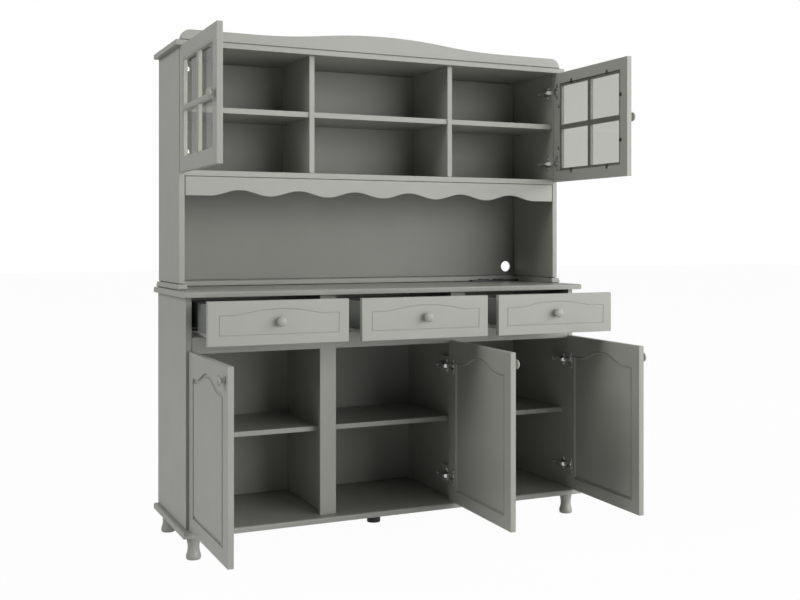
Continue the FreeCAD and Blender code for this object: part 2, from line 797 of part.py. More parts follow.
front_low = rail_top - dim.overlay
front_high = counter_underside - dim.drawer_front_gap
DRAWERS = (("left", -1, dim.left_drawer_open), ("middle", 0, dim.middle_drawer_open),
           ("right", 1, dim.right_drawer_open))
floor_low = box_low + dim.drawer_floor_rise
floor_high = floor_low + dim.drawer_floor_thickness
for name, bay, opened in DRAWERS:
    centre = bay * bay_spacing
    front_back = front - dim.drawer_closed_gap - opened
    front_face = front_back - dim.board
    box_back = front_back + box_length
    half_front = half_opening + dim.overlay
    panel = keep(body(f"drawer_front_{name}"))
    pad(panel, "XZ", [rectangle((centre - half_front, centre + half_front),
                                (front_low, front_high))], front_face, front_back)
    line_half = half_front - dim.drawer_groove_inset
    groove = [bowed_outline(centre, line_half, front_low + dim.drawer_groove_bottom,
                            front_low + dim.drawer_arch_shoulder,
                            line_half * dim.drawer_arch_share, dim.drawer_arch_rise, inset)
              for inset in (ZERO, dim.drawer_groove_width)]
    pocket(panel, "XZ", groove, front_face - dim.overrun, front_face + dim.drawer_groove_depth)
    inner_half = box_half_width - dim.drawer_side_thickness
    groove_half = inner_half + dim.drawer_floor_groove
    boards = []
    rails = []
    for side_name, sign in SIDES:
        section = [(box_half_width, box_low), (box_half_width, box_high),
                   (inner_half, box_high), (inner_half, floor_high),
                   (groove_half, floor_high), (groove_half, floor_low), (inner_half, floor_low),
                   (inner_half, box_low)]
        board = body(f"drawer_side_{name}_{side_name}")
        pad(board, "XZ", [[(centre + sign * x, z) for x, z in section]], front_back, box_back)
        boards.append(board)
        rail = body(f"moving_rail_{name}_{side_name}")
        pad(rail, "XZ", [moving_rail_outline(centre, sign)], front_back, box_back)
        rails.append(rail)
    boards.append(box(f"drawer_back_{name}", (centre - inner_half, centre + inner_half),
                      (box_back - dim.drawer_side_thickness, box_back),
                      (floor_high, box_high)))
    keep(group(f"drawer_box_{name}", boards))
    keep(box(f"drawer_bottom_{name}", (centre - groove_half, centre + groove_half),
             (front_back, box_back), (floor_low, floor_high)))
    keep(group(f"moving_rails_{name}", rails))
    keep(knob(f"drawer_knob_{name}", centre, front_face,
              (front_low + front_high) / 2 + dim.drawer_knob_lift))


# Hutch base: a stepped strip on the counter, in three pieces, that the hutch stands on.

strip_front = hutch_front - dim.strip_overhang
strip_outer = half_hutch + dim.strip_overhang
strip_inner = strip_outer - dim.strip_width
strip_step_level = hutch_low - dim.strip_step_height
strips = []
for name, sign in SIDES:
    strip = body(f"hutch_strip_{name}")
    pad(strip, "XY", [rectangle(mirrored(sign, strip_inner, strip_outer),
                                (strip_front, back))],
        dim.counter_top_height, strip_step_level)
    pad(strip, "XY", [rectangle(mirrored(sign, strip_inner, strip_outer - dim.strip_step),
                                (strip_front + dim.strip_step, back))],
        strip_step_level, hutch_low)
    strips.append(strip)
strips.append(box("hutch_strip_back", (-strip_inner, strip_inner),
                  (panel_front - dim.strip_width, panel_front),
                  (dim.counter_top_height, hutch_low)))
keep(group("hutch_base_strips", strips))


# Hutch case: sides, partitions, floor board, shelves, a thin back with a cable hole.

for name, sign in SIDES:
    keep(box(f"hutch_side_{name}", mirrored(sign, inner_half_hutch, half_hutch),
             (hutch_front, back), (hutch_low, hutch_side_top)))
floor_underside = hutch_low + dim.niche_height
floor_top = floor_underside + dim.board
glass_outer = half_hutch - dim.glass_side_gap
middle_bay_half = glass_outer - dim.glass_door_width - dim.glass_partition_overlay
partition_far = middle_bay_half + dim.board
for name, sign in SIDES:
    keep(box(f"hutch_partition_{name}",
             mirrored(sign, middle_bay_half, partition_far),
             (hutch_front, panel_front), (floor_top, hutch_side_top)))
keep(box("hutch_floor_board", (-inner_half_hutch, inner_half_hutch), (hutch_front, panel_front),
         (floor_underside, floor_top)))
hutch_shelf_front = hutch_front + dim.hutch_shelf_setback
hutch_shelf_underside = (floor_top + hutch_side_top - dim.board) / 2 - dim.shelf_play
hutch_ends = {-1: (-inner_half_hutch, -partition_far),
              0: (-middle_bay_half, middle_bay_half),
              1: (partition_far, inner_half_hutch)}
keep(group("hutch_shelves", [
    box(f"hutch_shelf_{name}", (hutch_ends[sign][0] + dim.shelf_play,
                                hutch_ends[sign][1] - dim.shelf_play),
        (hutch_shelf_front, panel_front - dim.shelf_play),
        (hutch_shelf_underside, hutch_shelf_underside + dim.board))
    for name, sign in BAYS]))
shelf_pins = []
for name, sign in BAYS:
    shelf_pins += pins(f"lower_pin_{name}", shelf_ends[sign], lower_shelf_underside, shelf_front)
    shelf_pins += pins(f"hutch_pin_{name}", hutch_ends[sign], hutch_shelf_underside,
                       hutch_shelf_front)
keep(group("shelf_pins", shelf_pins))

hutch_back = keep(body("hutch_back_panel"))
pad(hutch_back, "XZ", [rectangle((-inner_half_hutch, inner_half_hutch),
                                 (hutch_low, hutch_side_top))], panel_front, panel_back)
pocket(hutch_back, "XZ", [{"radius": dim.cable_hole_radius}], panel_front - dim.overrun,
       panel_back + dim.overrun, inner_half_hutch - dim.cable_hole_from_side,
       hutch_low + dim.cable_hole_lift)


# Valance: a thin board under the floor board, its lower edge cut in waves.

valance = keep(body("valance"))
wave_end = inner_half_hutch - dim.valance_end_flat
wave_half = wave_end / WAVES
wave_bend = wave_radius(wave_half, dim.valance_rise)
valance_low = floor_underside - dim.valance_depth
edge = [(-inner_half_hutch, valance_low), (-wave_end, valance_low, wave_bend)]
for number in range(2 * WAVES):
    bend = -wave_bend if number % 2 == 0 else wave_bend
    edge.append((-wave_end + wave_half * number + wave_half / 2, valance_low + dim.valance_rise / 2,
                 bend))
edge += [(wave_end, valance_low), (inner_half_hutch, valance_low),
         (inner_half_hutch, floor_underside),
         (-inner_half_hutch, floor_underside)]
pad(valance, "XZ", [edge], hutch_front, hutch_front + dim.valance_thickness)


# Cornice over the hutch, and the crown board that stands along its front.

cornice_top = hutch_side_top + dim.board
cornice_front = hutch_front - dim.cornice_overhang
cornice = keep(body("cornice"))
pad(cornice, "XY", [rectangle((-half_top, half_top), (cornice_front, back))],
    hutch_side_top, cornice_top)
round_edges(cornice, dim.cornice_edge_round,
            lambda middle: abs(middle.z - float(cornice_top)) < NEAR
            and middle.y < float(back) - NEAR)

crown = keep(body("crown_board"))
crown_shoulder = half_hutch - dim.crown_end_radius
crown_wave = crown_shoulder - dim.crown_end_flat
crown_bend = wave_radius(crown_wave, dim.crown_wave_rise)
crown_level = cornice_top + dim.crown_end_radius
crown_middle = crown_level + dim.crown_wave_rise / 2
crown_half_wave = crown_wave / 2
pad(crown, "XZ", [[
    (-half_hutch, cornice_top), (half_hutch, cornice_top, dim.crown_end_radius),
    (crown_shoulder, crown_level), (crown_wave, crown_level, -crown_bend),
    (crown_half_wave, crown_middle, crown_bend), (-crown_half_wave, crown_middle, -crown_bend),
    (-crown_wave, crown_level), (-crown_shoulder, crown_level, dim.crown_end_radius)]],
    hutch_front - dim.board, hutch_front)


# Glass doors: a frame cut from one board with four lights, a pane let in from behind,
# round clips that hold it, two cups and a knob.

glass_low = floor_top - dim.overlay
glass_high = hutch_side_top - dim.glass_door_top_gap
glass_width = dim.glass_door_width
glass_pivot_depth = hutch_front - case_plane
glass_pivot_across = glass_outer - dim.pivot_from_edge
glass_wall = glass_pivot_across - inner_half_hutch
glass_hinges = (glass_high - dim.glass_hinge_from_end, glass_low + dim.glass_hinge_from_end)
rebate_floor = inner_face - dim.pane_thickness - dim.pane_play
GLASS_DOORS = (
    ("left", 1, (-glass_pivot_across, glass_pivot_depth), dim.left_glass_door_angle),
    ("right", -1, (glass_pivot_across, glass_pivot_depth), dim.right_glass_door_angle))
for name, hand, pivot, angle in GLASS_DOORS:
    near = hinge_edge + dim.frame_member
    far = hinge_edge + glass_width - dim.frame_member
    middle = (near + far) / 2
    low = glass_low + dim.frame_member
    high = glass_high - dim.frame_member
    level = (low + high) / 2
    half_bar = dim.muntin / 2
    frame = body(f"glass_door_frame_{name}")
    lights = [rectangle([hand * x for x in across], up)
              for across in ((near, middle - half_bar), (middle + half_bar, far))
              for up in ((low, level - half_bar), (level + half_bar, high))]
    pad(frame, "XZ", [rectangle((hand * hinge_edge, hand * (hinge_edge + glass_width)),
                                (glass_low, glass_high))] + lights, outer_face, inner_face)
    rebate = dim.rebate_width
    pocket(frame, "XZ", [rectangle((hand * (near - rebate), hand * (far + rebate)),
                                   (low - rebate, high + rebate))],
           rebate_floor, inner_face + dim.overrun)
    cup_pockets(frame, hand, glass_hinges)
    hang(frame, pivot, hand, angle)
    seat = rebate - dim.pane_play
    pane = body(f"glass_pane_{name}")
    pad(pane, "XZ", [rectangle((hand * (near - seat), hand * (far + seat)),
                               (low - seat, high + seat))],
        rebate_floor, rebate_floor + dim.pane_thickness)
    hang(pane, pivot, hand, angle)
    off = dim.clip_radius - dim.clip_overlap
    places = [(x, z) for x in (near - rebate - off, far + rebate + off)
              for z in (level - dim.clip_rise, level + dim.clip_rise)]
    clip_spread = glass_width / 2 * dim.clip_spread_share
    places += [(middle + side * clip_spread, z) for side in (-1, 1)
               for z in (low - rebate - off, high + rebate + off)]
    clips = [rod(f"clip_{name}_{number}", "y", (hand * x, z), dim.clip_radius, inner_face,
                 inner_face + dim.clip_thickness) for number, (x, z) in enumerate(places)]
    cups = [hinge_cup(f"glass_cup_{name}_{number}", hand, height)
            for number, height in enumerate(glass_hinges)]
    hang(group(f"glass_door_fittings_{name}", cups + clips), pivot, hand, angle)
    hang(knob(f"glass_knob_{name}", hand * (hinge_edge + glass_width - dim.glass_knob_inset),
              outer_face, level), pivot, hand, angle)
    for number, height in enumerate(glass_hinges):
        arms.append(hinge_arm(f"glass_arm_{name}_{number}", pivot, hand, glass_wall, height))
keep(group("hinge_arms", arms))


# Outlet bar: a slim black bar with two raised sockets, in the corner of strip and back strip.

bar_right = strip_inner
bar_left = bar_right - dim.outlet_length
bar_back = panel_front - dim.strip_width
bar_front = bar_back - dim.outlet_width
bar_top = dim.counter_top_height + dim.outlet_height
bar_pieces = [box("outlet_body", (bar_left, bar_right), (bar_front, bar_back),
                  (dim.counter_top_height, bar_top))]
bar_middle = (bar_front + bar_back) / 2
for number, share in enumerate(SOCKET_PLACE_SHARES):
    spot = bar_left + dim.outlet_length * share
    bar_pieces.append(box(f"outlet_socket_{number}",
                          (spot - dim.socket_length / 2, spot + dim.socket_length / 2),
                          (bar_middle - dim.socket_width / 2, bar_middle + dim.socket_width / 2),
                          (bar_top, bar_top + dim.socket_rise)))
keep(fuse("outlet_bar", bar_pieces))


# Every object is checked before anything is written.

doc.recompute()
for thing in doc.Objects:
    if {"Invalid", "Error"} & set(thing.State):
        raise RuntimeError(f"{thing.Label} is {thing.State}")
os.makedirs("parts", exist_ok=True)
for piece in nodes:
    if piece.Shape.isNull() or not piece.Shape.isValid() or not piece.Shape.Solids:
        raise RuntimeError(f"{piece.Label} has no valid shape")
for piece in nodes:
    piece.Shape.exportStep(f"parts/{piece.Label}.step")
print(len(nodes), "nodes")
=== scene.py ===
import bmesh
import bpy
import json
import math
from mathutils import Matrix, Vector


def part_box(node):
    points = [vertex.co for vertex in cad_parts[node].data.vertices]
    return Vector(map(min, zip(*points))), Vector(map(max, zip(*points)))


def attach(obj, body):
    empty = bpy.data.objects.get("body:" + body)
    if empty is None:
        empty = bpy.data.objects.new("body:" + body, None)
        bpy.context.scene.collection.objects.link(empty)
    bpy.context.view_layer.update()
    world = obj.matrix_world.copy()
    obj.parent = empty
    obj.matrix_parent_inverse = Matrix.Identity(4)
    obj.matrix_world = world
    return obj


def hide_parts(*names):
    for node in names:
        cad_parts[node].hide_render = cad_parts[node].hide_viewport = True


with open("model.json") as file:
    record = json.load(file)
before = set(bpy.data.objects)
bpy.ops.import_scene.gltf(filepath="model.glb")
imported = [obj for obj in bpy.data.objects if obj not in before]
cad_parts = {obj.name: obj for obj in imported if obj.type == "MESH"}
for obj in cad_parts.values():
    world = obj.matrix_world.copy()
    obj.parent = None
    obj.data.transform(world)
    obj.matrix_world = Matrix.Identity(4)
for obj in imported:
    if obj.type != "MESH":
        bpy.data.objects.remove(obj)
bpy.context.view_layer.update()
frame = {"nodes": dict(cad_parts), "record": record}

# Bottom board and counter top.
# Two slabs of painted fibre board. The bottom board stands on the feet, and the counter is
# screwed down on the case. Both have a rounded front and sides. The counter has a glossier coat.

SAGE = (0.328, 0.333, 0.300)
# The counter's sage is darker than the boards' sage as painted shade: its top gets less light than
# the fronts.
SAGE_COUNTER_SHADED = (0.290, 0.295, 0.265)


def noise(nodes, links, vector, scale, detail=2):
    """Cloudy noise over the given coordinates."""
    clouds = nodes.new("ShaderNodeTexNoise")
    clouds.inputs["Scale"].default_value = scale
    clouds.inputs["Detail"].default_value = detail
    links.new(vector, clouds.inputs["Vector"])
    return clouds


def spread(nodes, links, value, to_low, to_high, from_low=0.0, from_high=1.0):
    """Carries a value from one range to another."""
    scaled = nodes.new("ShaderNodeMapRange")
    for label, level in (("From Min", from_low), ("From Max", from_high), ("To Min", to_low),
                         ("To Max", to_high)):
        scaled.inputs[label].default_value = level
    links.new(value, scaled.inputs["Value"])
    return scaled.outputs["Result"]


def between(nodes, links, share, first, second):
    """A colour that goes from the first to the second with the share."""
    blend = nodes.new("ShaderNodeMix")
    blend.data_type = "RGBA"
    blend.inputs["A"].default_value = (*first, 1)
    blend.inputs["B"].default_value = (*second, 1)
    links.new(share, blend.inputs["Factor"])
    return blend.outputs["Result"]


def sums(nodes, links, operation, *values):
    """One step of arithmetic; each value is a socket or a plain number."""
    step = nodes.new("ShaderNodeMath")
    step.operation = operation
    for socket, value in zip(step.inputs, values):
        if isinstance(value, (int, float)):
            socket.default_value = value
        else:
            links.new(value, socket)
    return step.outputs["Value"]


def scaled_colour(colour, factor):
    return [part * factor for part in colour]


def sprayed_film_group():
    """Sprayed paint: faint clouds of tone, a fine orange peel and a few dull patches."""
    group = bpy.data.node_groups.new("sprayed_film", "ShaderNodeTree")
    for label, kind, value in (("Colour", "NodeSocketColor", (*SAGE, 1)),
                               ("Roughness", "NodeSocketFloat", 0.4),
                               ("Peel Scale", "NodeSocketFloat", 650),
                               ("Clouding", "NodeSocketFloat", 0.05)):
        socket = group.interface.new_socket(name=label, in_out="INPUT", socket_type=kind)
        socket.default_value = value
    for label, kind in (("Colour", "NodeSocketColor"), ("Roughness", "NodeSocketFloat"),
                        ("Height", "NodeSocketFloat")):
        group.interface.new_socket(name=label, in_out="OUTPUT", socket_type=kind)
    nodes, links = group.nodes, group.links
    given = nodes.new("NodeGroupInput")
    result = nodes.new("NodeGroupOutput")
    place = nodes.new("ShaderNodeTexCoord").outputs["Object"]
    clouds = noise(nodes, links, place, 5, 5).outputs["Fac"]
    paint = nodes.new("ShaderNodeHueSaturation")
    links.new(given.outputs["Colour"], paint.inputs["Color"])
    links.new(sums(nodes, links, "MULTIPLY_ADD", spread(nodes, links, clouds, -0.5, 0.5, 0.3, 0.7),
                   given.outputs["Clouding"], 1), paint.inputs["Value"])
    links.new(paint.outputs["Color"], result.inputs["Colour"])
    patches = noise(nodes, links, place, 28, 3).outputs["Fac"]
    links.new(sums(nodes, links, "ADD", given.outputs["Roughness"],
                   spread(nodes, links, patches, -0.05, 0.05)), result.inputs["Roughness"])
    peel = noise(nodes, links, place, 1)
    links.new(given.outputs["Peel Scale"], peel.inputs["Scale"])
    links.new(peel.outputs["Fac"], result.inputs["Height"])
    return group


sprayed_film = sprayed_film_group()


def new_material(name):
    material = bpy.data.materials.new(name)
    material.use_nodes = True
    shader = material.node_tree.nodes["Principled BSDF"]
    return material, material.node_tree.nodes, material.node_tree.links, shader


def add_bump(nodes, links, shader, height, strength, distance):
    bump = nodes.new("ShaderNodeBump")
    bump.inputs["Strength"].default_value = strength
    bump.inputs["Distance"].default_value = distance
    links.new(height, bump.inputs["Height"])
    links.new(bump.outputs["Normal"], shader.inputs["Normal"])


PEEL_HEIGHT = 0.0004
COAT_ROUGHNESS = 0.2


def painted(name, colour, roughness, coat=0.0, peel=0.25):
    """Sprayed and baked paint on fibre board."""
    material, nodes, links, shader = new_material(name)
    film = nodes.new("ShaderNodeGroup")
    film.node_tree = sprayed_film
    film.inputs["Colour"].default_value = (*colour, 1)
    film.inputs["Roughness"].default_value = roughness
    links.new(film.outputs["Colour"], shader.inputs["Base Color"])
    links.new(film.outputs["Roughness"], shader.inputs["Roughness"])
    add_bump(nodes, links, shader, film.outputs["Height"], peel, PEEL_HEIGHT)
    shader.inputs["Coat Weight"].default_value = coat
    shader.inputs["Coat Roughness"].default_value = COAT_ROUGHNESS
    return material


sage_paint = painted("sage_paint", SAGE, 0.42)
# The counter's paint carries painted shade for its top, on top of its glossier coat.
sage_counter = painted("sage_counter", SAGE_COUNTER_SHADED, 0.34, coat=0.12, peel=0.15)


def finish_piece(piece, material, body, stands_for=()):
    piece.data.materials.clear()
    piece.data.materials.append(material)
    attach(piece, body)
    if stands_for:
        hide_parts(*stands_for)
    return piece


SHARP_ABOVE = math.radians(38)
BEVEL_ABOVE = math.radians(32)
FLAT_BELOW = math.radians(0.6)
SAME_POINT = 0.00002


def shown(name, mesh):
    """Stands a mesh at the origin, smooth apart from its sharp edges."""
    mesh.shade_smooth()
    mesh.set_sharp_from_angle(angle=SHARP_ABOVE)
    piece = bpy.data.objects.new(name, mesh)
    bpy.context.scene.collection.objects.link(piece)
    return piece


def as_piece(name, form):
    """Makes a finished bmesh an object."""
    mesh = bpy.data.meshes.new(name)
    form.to_mesh(mesh)
    form.free()
    return shown(name, mesh)


def merged_flats(form):
    """Joins the triangles of each flat face."""
    bmesh.ops.dissolve_limit(form, angle_limit=FLAT_BELOW, verts=form.verts, edges=form.edges)


def cad_form(node):
    """The CAD piece's own shape as one closed bmesh."""
    form = bmesh.new()
    form.from_mesh(frame["nodes"][node].data)
    bmesh.ops.remove_doubles(form, verts=form.verts, dist=SAME_POINT)
    return form


def rounded(piece, width, segments=2, above=BEVEL_ABOVE):
    """Small rounded edges."""
    edge = piece.modifiers.new("edge", "BEVEL")
    edge.width = width
    edge.segments = segments
    edge.limit_method = "ANGLE"
    edge.angle_limit = above
    edge.use_clamp_overlap = True


def flat_faced(piece):
    """Keeps the wide faces flat where a small rounding meets them."""
    normals = piece.modifiers.new("normals", "WEIGHTED_NORMAL")
    normals.keep_sharp = True
    normals.weight = 80
    return piece


def softened(node, width, body, material, segments=2):
    """A CAD piece's own shape, with the small rounded edges that finishing leaves."""
    form = cad_form(node)
    merged_flats(form)
    piece = as_piece(f"{node}_painted", form)
    rounded(piece, width, segments)
    return finish_piece(flat_faced(piece), material, body, (node,))


def board(node, width, segments=2):
    """A painted board of the cabinet, its edges rounded by the given width in metres."""
    return softened(node, width, "cabinet", sage_paint, segments)


NEAR = 0.0003
JOINT_DEPTH = 0.006
JOINT_GAP = 0.0014


def relieved(piece, face, edge, depth=JOINT_DEPTH, gap=JOINT_GAP):
    """Takes a thin wedge off one edge of a face, so that the joint shows as a dark line.

    The face and the edge are each an axis, a level on it and the sign that points inwards.
    """
    face_axis, face_level, inwards = face
    edge_axis, edge_level, away = edge
    form = bmesh.new()
    form.from_mesh(piece.data)
    cut = Vector((0, 0, 0))
    cut[face_axis] = face_level + inwards * depth
    normal = Vector((0, 0, 0))
    normal[face_axis] = 1
    bmesh.ops.bisect_plane(form, geom=form.verts[:] + form.edges[:] + form.faces[:],
                           plane_co=cut, plane_no=normal, dist=SAME_POINT / 2)
    for vert in form.verts:
        if (abs(vert.co[face_axis] - face_level) < NEAR
                and abs(vert.co[edge_axis] - edge_level) < NEAR):
            vert.co[edge_axis] += away * gap
    form.to_mesh(piece.data)
    form.free()


def side_faces(low, high):
    """A board's left and right faces, for relieved()."""
    return (0, low.x, 1), (0, high.x, -1)


board("bottom_board", 0.0012)
softened("counter_top", 0.0010, "cabinet", sage_counter)

# Base case.
# Two sides and two partitions of 18 mm board, dowelled and glued, and a thin hardboard back that
# slides in a groove. All painted; the back is a little duller and darker than the boards.


def thin_back(node, paint, edges, depth, gap):
    """A back panel with an open joint along the given edges (axis, level, way inwards)."""
    back = softened(node, 0.0004, "cabinet", paint, segments=1)
    front = (1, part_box(node)[0].y, 1)
    for edge in edges:
        relieved(back, front, edge, depth, gap)


for node in ("base_side_left", "base_side_right", "base_partition_left", "base_partition_right"):
    upright = board(node, 0.0008)
    low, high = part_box(node)
    for face in side_faces(low, high):
        relieved(upright, face, (2, low.z, 1))
        if "partition" in node:
            relieved(upright, face, (1, high.y, -1))
back_paint = painted("back_paint", (0.310, 0.316, 0.283), 0.55)
low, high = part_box("base_back_panel")
thin_back("base_back_panel", back_paint, ((2, low.z, 1), *side_faces(low, high)), 0.0034, 0.0028)

# Face frame.
# Two upright stiles stand in front of the partitions, and three short rails lie between them
# under the drawers. They are glued flush, with a hairline at each joint.

board("face_stiles", 0.0009)
rails = board("face_rails", 0.0007)
low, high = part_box("face_rails")
for edge in side_faces(low, high):
    relieved(rails, (1, low.y, 1), edge)

# Lower shelves and their pins.
# Three loose shelves lie on steel pins that are pushed into drilled holes, four to a shelf.
# The pins are one turned shape, set out by a layout that points each one into its board.

NARROW_GAP = 0.0016


def loose_shelves(node):
    """The shelves of one row, with a thin gap behind them."""
    row = board(node, 0.0010)
    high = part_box(node)[1]
    relieved(row, (2, high.z, -1), (1, high.y, -1), gap=NARROW_GAP)


loose_shelves("lower_shelves")


def stretched(nodes, links, scale):
    """Object coordinates, drawn out by one scale for each axis."""
    stretch = nodes.new("ShaderNodeMapping")
    stretch.inputs["Scale"].default_value = scale
    links.new(nodes.new("ShaderNodeTexCoord").outputs["Object"], stretch.inputs["Vector"])
    return stretch.outputs["Vector"]


GRAIN_HEIGHT = 0.0002


def metal(name, colour, roughness, streak=(90, 90, 900), bump=0.08):
    """Plated steel: thin rolling streaks in the finish and small dull spots."""
    material, nodes, links, shader = new_material(name)
    lines = noise(nodes, links, stretched(nodes, links, streak), 1, 4).outputs["Fac"]
    links.new(spread(nodes, links, lines, roughness - 0.08, roughness + 0.1),
              shader.inputs["Roughness"])
    links.new(between(nodes, links, lines, scaled_colour(colour, 0.86), colour),
              shader.inputs["Base Color"])
    add_bump(nodes, links, shader, lines, bump, GRAIN_HEIGHT)
    shader.inputs["Metallic"].default_value = 1
    return material


zinc = metal("zinc_plate", (0.74, 0.74, 0.72), 0.34)
dull_zinc = metal("dull_zinc", (0.30, 0.30, 0.29), 0.5)
dark_steel = metal("dark_steel", (0.17, 0.17, 0.165), 0.32)


def fastener_layout():
    """Sets one small part on each point, its axis along the point's aim, and makes it real."""
    tree = bpy.data.node_groups.new("fastener_layout", "GeometryNodeTree")
    tree.interface.new_socket(name="Places", in_out="INPUT", socket_type="NodeSocketGeometry")
    for label, kind in (("Part", "NodeSocketObject"), ("Size", "NodeSocketFloat"),
                        ("Finish", "NodeSocketMaterial")):
        tree.interface.new_socket(name=label, in_out="INPUT", socket_type=kind)
    tree.interface.new_socket(name="Fasteners", in_out="OUTPUT", socket_type="NodeSocketGeometry")
    nodes, links = tree.nodes, tree.links
    given = nodes.new("NodeGroupInput")
    result = nodes.new("NodeGroupOutput")
    points = nodes.new("GeometryNodeMeshToPoints")
    part = nodes.new("GeometryNodeObjectInfo")
    aim = nodes.new("GeometryNodeInputNamedAttribute")
    aim.data_type = "FLOAT_VECTOR"
    aim.inputs["Name"].default_value = "aim"
    turn = nodes.new("GeometryNodeInputNamedAttribute")
    turn.data_type = "FLOAT"
    turn.inputs["Name"].default_value = "turn"
    face = nodes.new("FunctionNodeAlignRotationToVector")
    face.axis = "Z"
    spin = nodes.new("FunctionNodeRotateRotation")
    spin.rotation_space = "LOCAL"
    about = nodes.new("FunctionNodeAxisAngleToRotation")
    about.inputs["Axis"].default_value = (0, 0, 1)
    setting = nodes.new("GeometryNodeInstanceOnPoints")
    real = nodes.new("GeometryNodeRealizeInstances")
    finish = nodes.new("GeometryNodeSetMaterial")
    links.new(given.outputs["Places"], points.inputs["Mesh"])
    links.new(points.outputs["Points"], setting.inputs["Points"])
    links.new(given.outputs["Part"], part.inputs["Object"])
    links.new(part.outputs["Geometry"], setting.inputs["Instance"])
    links.new(aim.outputs["Attribute"], face.inputs["Vector"])
    links.new(turn.outputs["Attribute"], about.inputs["Angle"])
    links.new(face.outputs["Rotation"], spin.inputs["Rotation"])
    links.new(about.outputs["Rotation"], spin.inputs["Rotate By"])
    links.new(spin.outputs["Rotation"], setting.inputs["Rotation"])
    links.new(given.outputs["Size"], setting.inputs["Scale"])
    links.new(setting.outputs["Instances"], real.inputs["Geometry"])
    links.new(real.outputs["Geometry"], finish.inputs["Geometry"])
    links.new(given.outputs["Finish"], finish.inputs["Material"])
    links.new(finish.outputs["Geometry"], result.inputs["Fasteners"])
    return tree


fastener_tree = fastener_layout()


def baked(name, source, tree, values):
    """Runs a layout on a mesh and keeps the result as one plain mesh."""
    holder = bpy.data.objects.new(f"{name}_layout", source)
    bpy.context.scene.collection.objects.link(holder)
    layout = holder.modifiers.new("layout", "NODES")
    layout.node_group = tree
    for socket in tree.interface.items_tree:
        if socket.item_type == "SOCKET" and socket.in_out == "INPUT" and socket.name in values:
            layout[socket.identifier] = values[socket.name]
    bpy.context.view_layer.update()
    ready = holder.evaluated_get(bpy.context.evaluated_depsgraph_get())
    mesh = bpy.data.meshes.new_from_object(ready)
    bpy.data.objects.remove(holder)
    mesh.name = name
    return shown(name, mesh)


def set_out(name, form, spots, material, body, stands_for=()):
    """Places one part at each spot (place, aim, turn) and rides the lot on one body."""
    part = as_piece(f"{name}_part", form)
    places = bpy.data.meshes.new(f"{name}_places")
    places.from_pydata([spot[0] for spot in spots], [], [])
    places.attributes.new("aim", "FLOAT_VECTOR", "POINT")
    places.attributes.new("turn", "FLOAT", "POINT")
    for number, (_, aim, turn) in enumerate(spots):
        places.attributes["aim"].data[number].vector = aim
        places.attributes["turn"].data[number].value = turn
    piece = baked(name, places, fastener_tree, {"Part": part, "Size": 1.0, "Finish": material})
    bpy.data.objects.remove(part)
    return finish_piece(piece, material, body, stands_for)


def lathe(form, profile, steps=32, matrix=Matrix()):
    """Turns a (radius, height) profile about Z; the ends that lie on the axis are closed."""
    rings = []
    for radius, height in profile:
        if radius < 0.00001:
            rings.append([form.verts.new(matrix @ Vector((0, 0, height)))])
            continue
        rings.append([form.verts.new(matrix @ Vector((radius * math.cos(2 * math.pi * k / steps),
                                                      radius * math.sin(2 * math.pi * k / steps),
                                                      height))) for k in range(steps)])
    for low, high in zip(rings, rings[1:]):
        for k in range(steps):
            after = (k + 1) % steps
            if len(low) == 1:
                form.faces.new((low[0], high[k], high[after]))
            elif len(high) == 1:
                form.faces.new((low[k], high[0], low[after]))
            else:
                form.faces.new((low[k], low[after], high[after], high[k]))
    bmesh.ops.recalc_face_normals(form, faces=form.faces)
    return form


def bridge(form, first, second):
    """A band of faces between two loops."""
    for k in range(len(first)):
        after = (k + 1) % len(first)
        form.faces.new((first[k], first[after], second[after], second[k]))


MM = 0.001


def in_mm(profile):
    return [(radius * MM, height * MM) for radius, height in profile]


PIN_PROFILE = [(0, 0), (4.2, 0), (4.4, 0.3), (4.2, 0.8), (2.5, 0.9), (2.5, 6.4), (2.2, 6.9),
               (0, 6.9)]
PIN_ROWS = {"lower_shelves": (-0.682, -0.2455, -0.2275, 0.2275, 0.2455, 0.682),
            "hutch_shelves": (-0.680, -0.265, -0.247, 0.247, 0.265, 0.680)}
PIN_RADIUS = 0.0025
PIN_FROM_FRONT = 0.045
PIN_FROM_BACK = 0.0445
spots = []
for node, ends in PIN_ROWS.items():
    low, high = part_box(node)
    for number, end in enumerate(ends):
        inward = 1 if number % 2 == 0 else -1
        for depth in (low.y + PIN_FROM_FRONT, high.y - PIN_FROM_BACK):
            spots.append(((end, depth, low.z - PIN_RADIUS), (inward, 0, 0), 0))
set_out("shelf_pins_set", lathe(bmesh.new(), in_mm(PIN_PROFILE), 16), spots, dull_zinc,
        "cabinet", ("shelf_pins",))

# Turned feet, and the foot in the middle.
# Four feet of turned and painted hardwood, each screwed up into the bottom board near a corner.
# A plain black plastic foot with a wide cap carries the middle of the long board.

FOOT_PROFILE = [(0, 0), (20.4, 0), (21.6, 0.9), (22.7, 4), (23.0, 8), (22.7, 12), (21.6, 16.5),
                (20.0, 21.5), (18.7, 27), (18.1, 33), (18.0, 39), (18.4, 45), (19.3, 51),
                (20.3, 56.5), (20.9, 62), (20.7, 68), (20.2, 71), (19.4, 72), (0, 72)]
FOOT_RADIUS = 0.023
low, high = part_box("turned_feet")
spots = [((x, y, 0), (0, 0, 1), 0) for x in (low.x + FOOT_RADIUS, high.x - FOOT_RADIUS)
         for y in (low.y + FOOT_RADIUS, high.y - FOOT_RADIUS)]
set_out("turned_feet_set", lathe(bmesh.new(), in_mm(FOOT_PROFILE), 40), spots, sage_paint,
        "cabinet", ("turned_feet",))


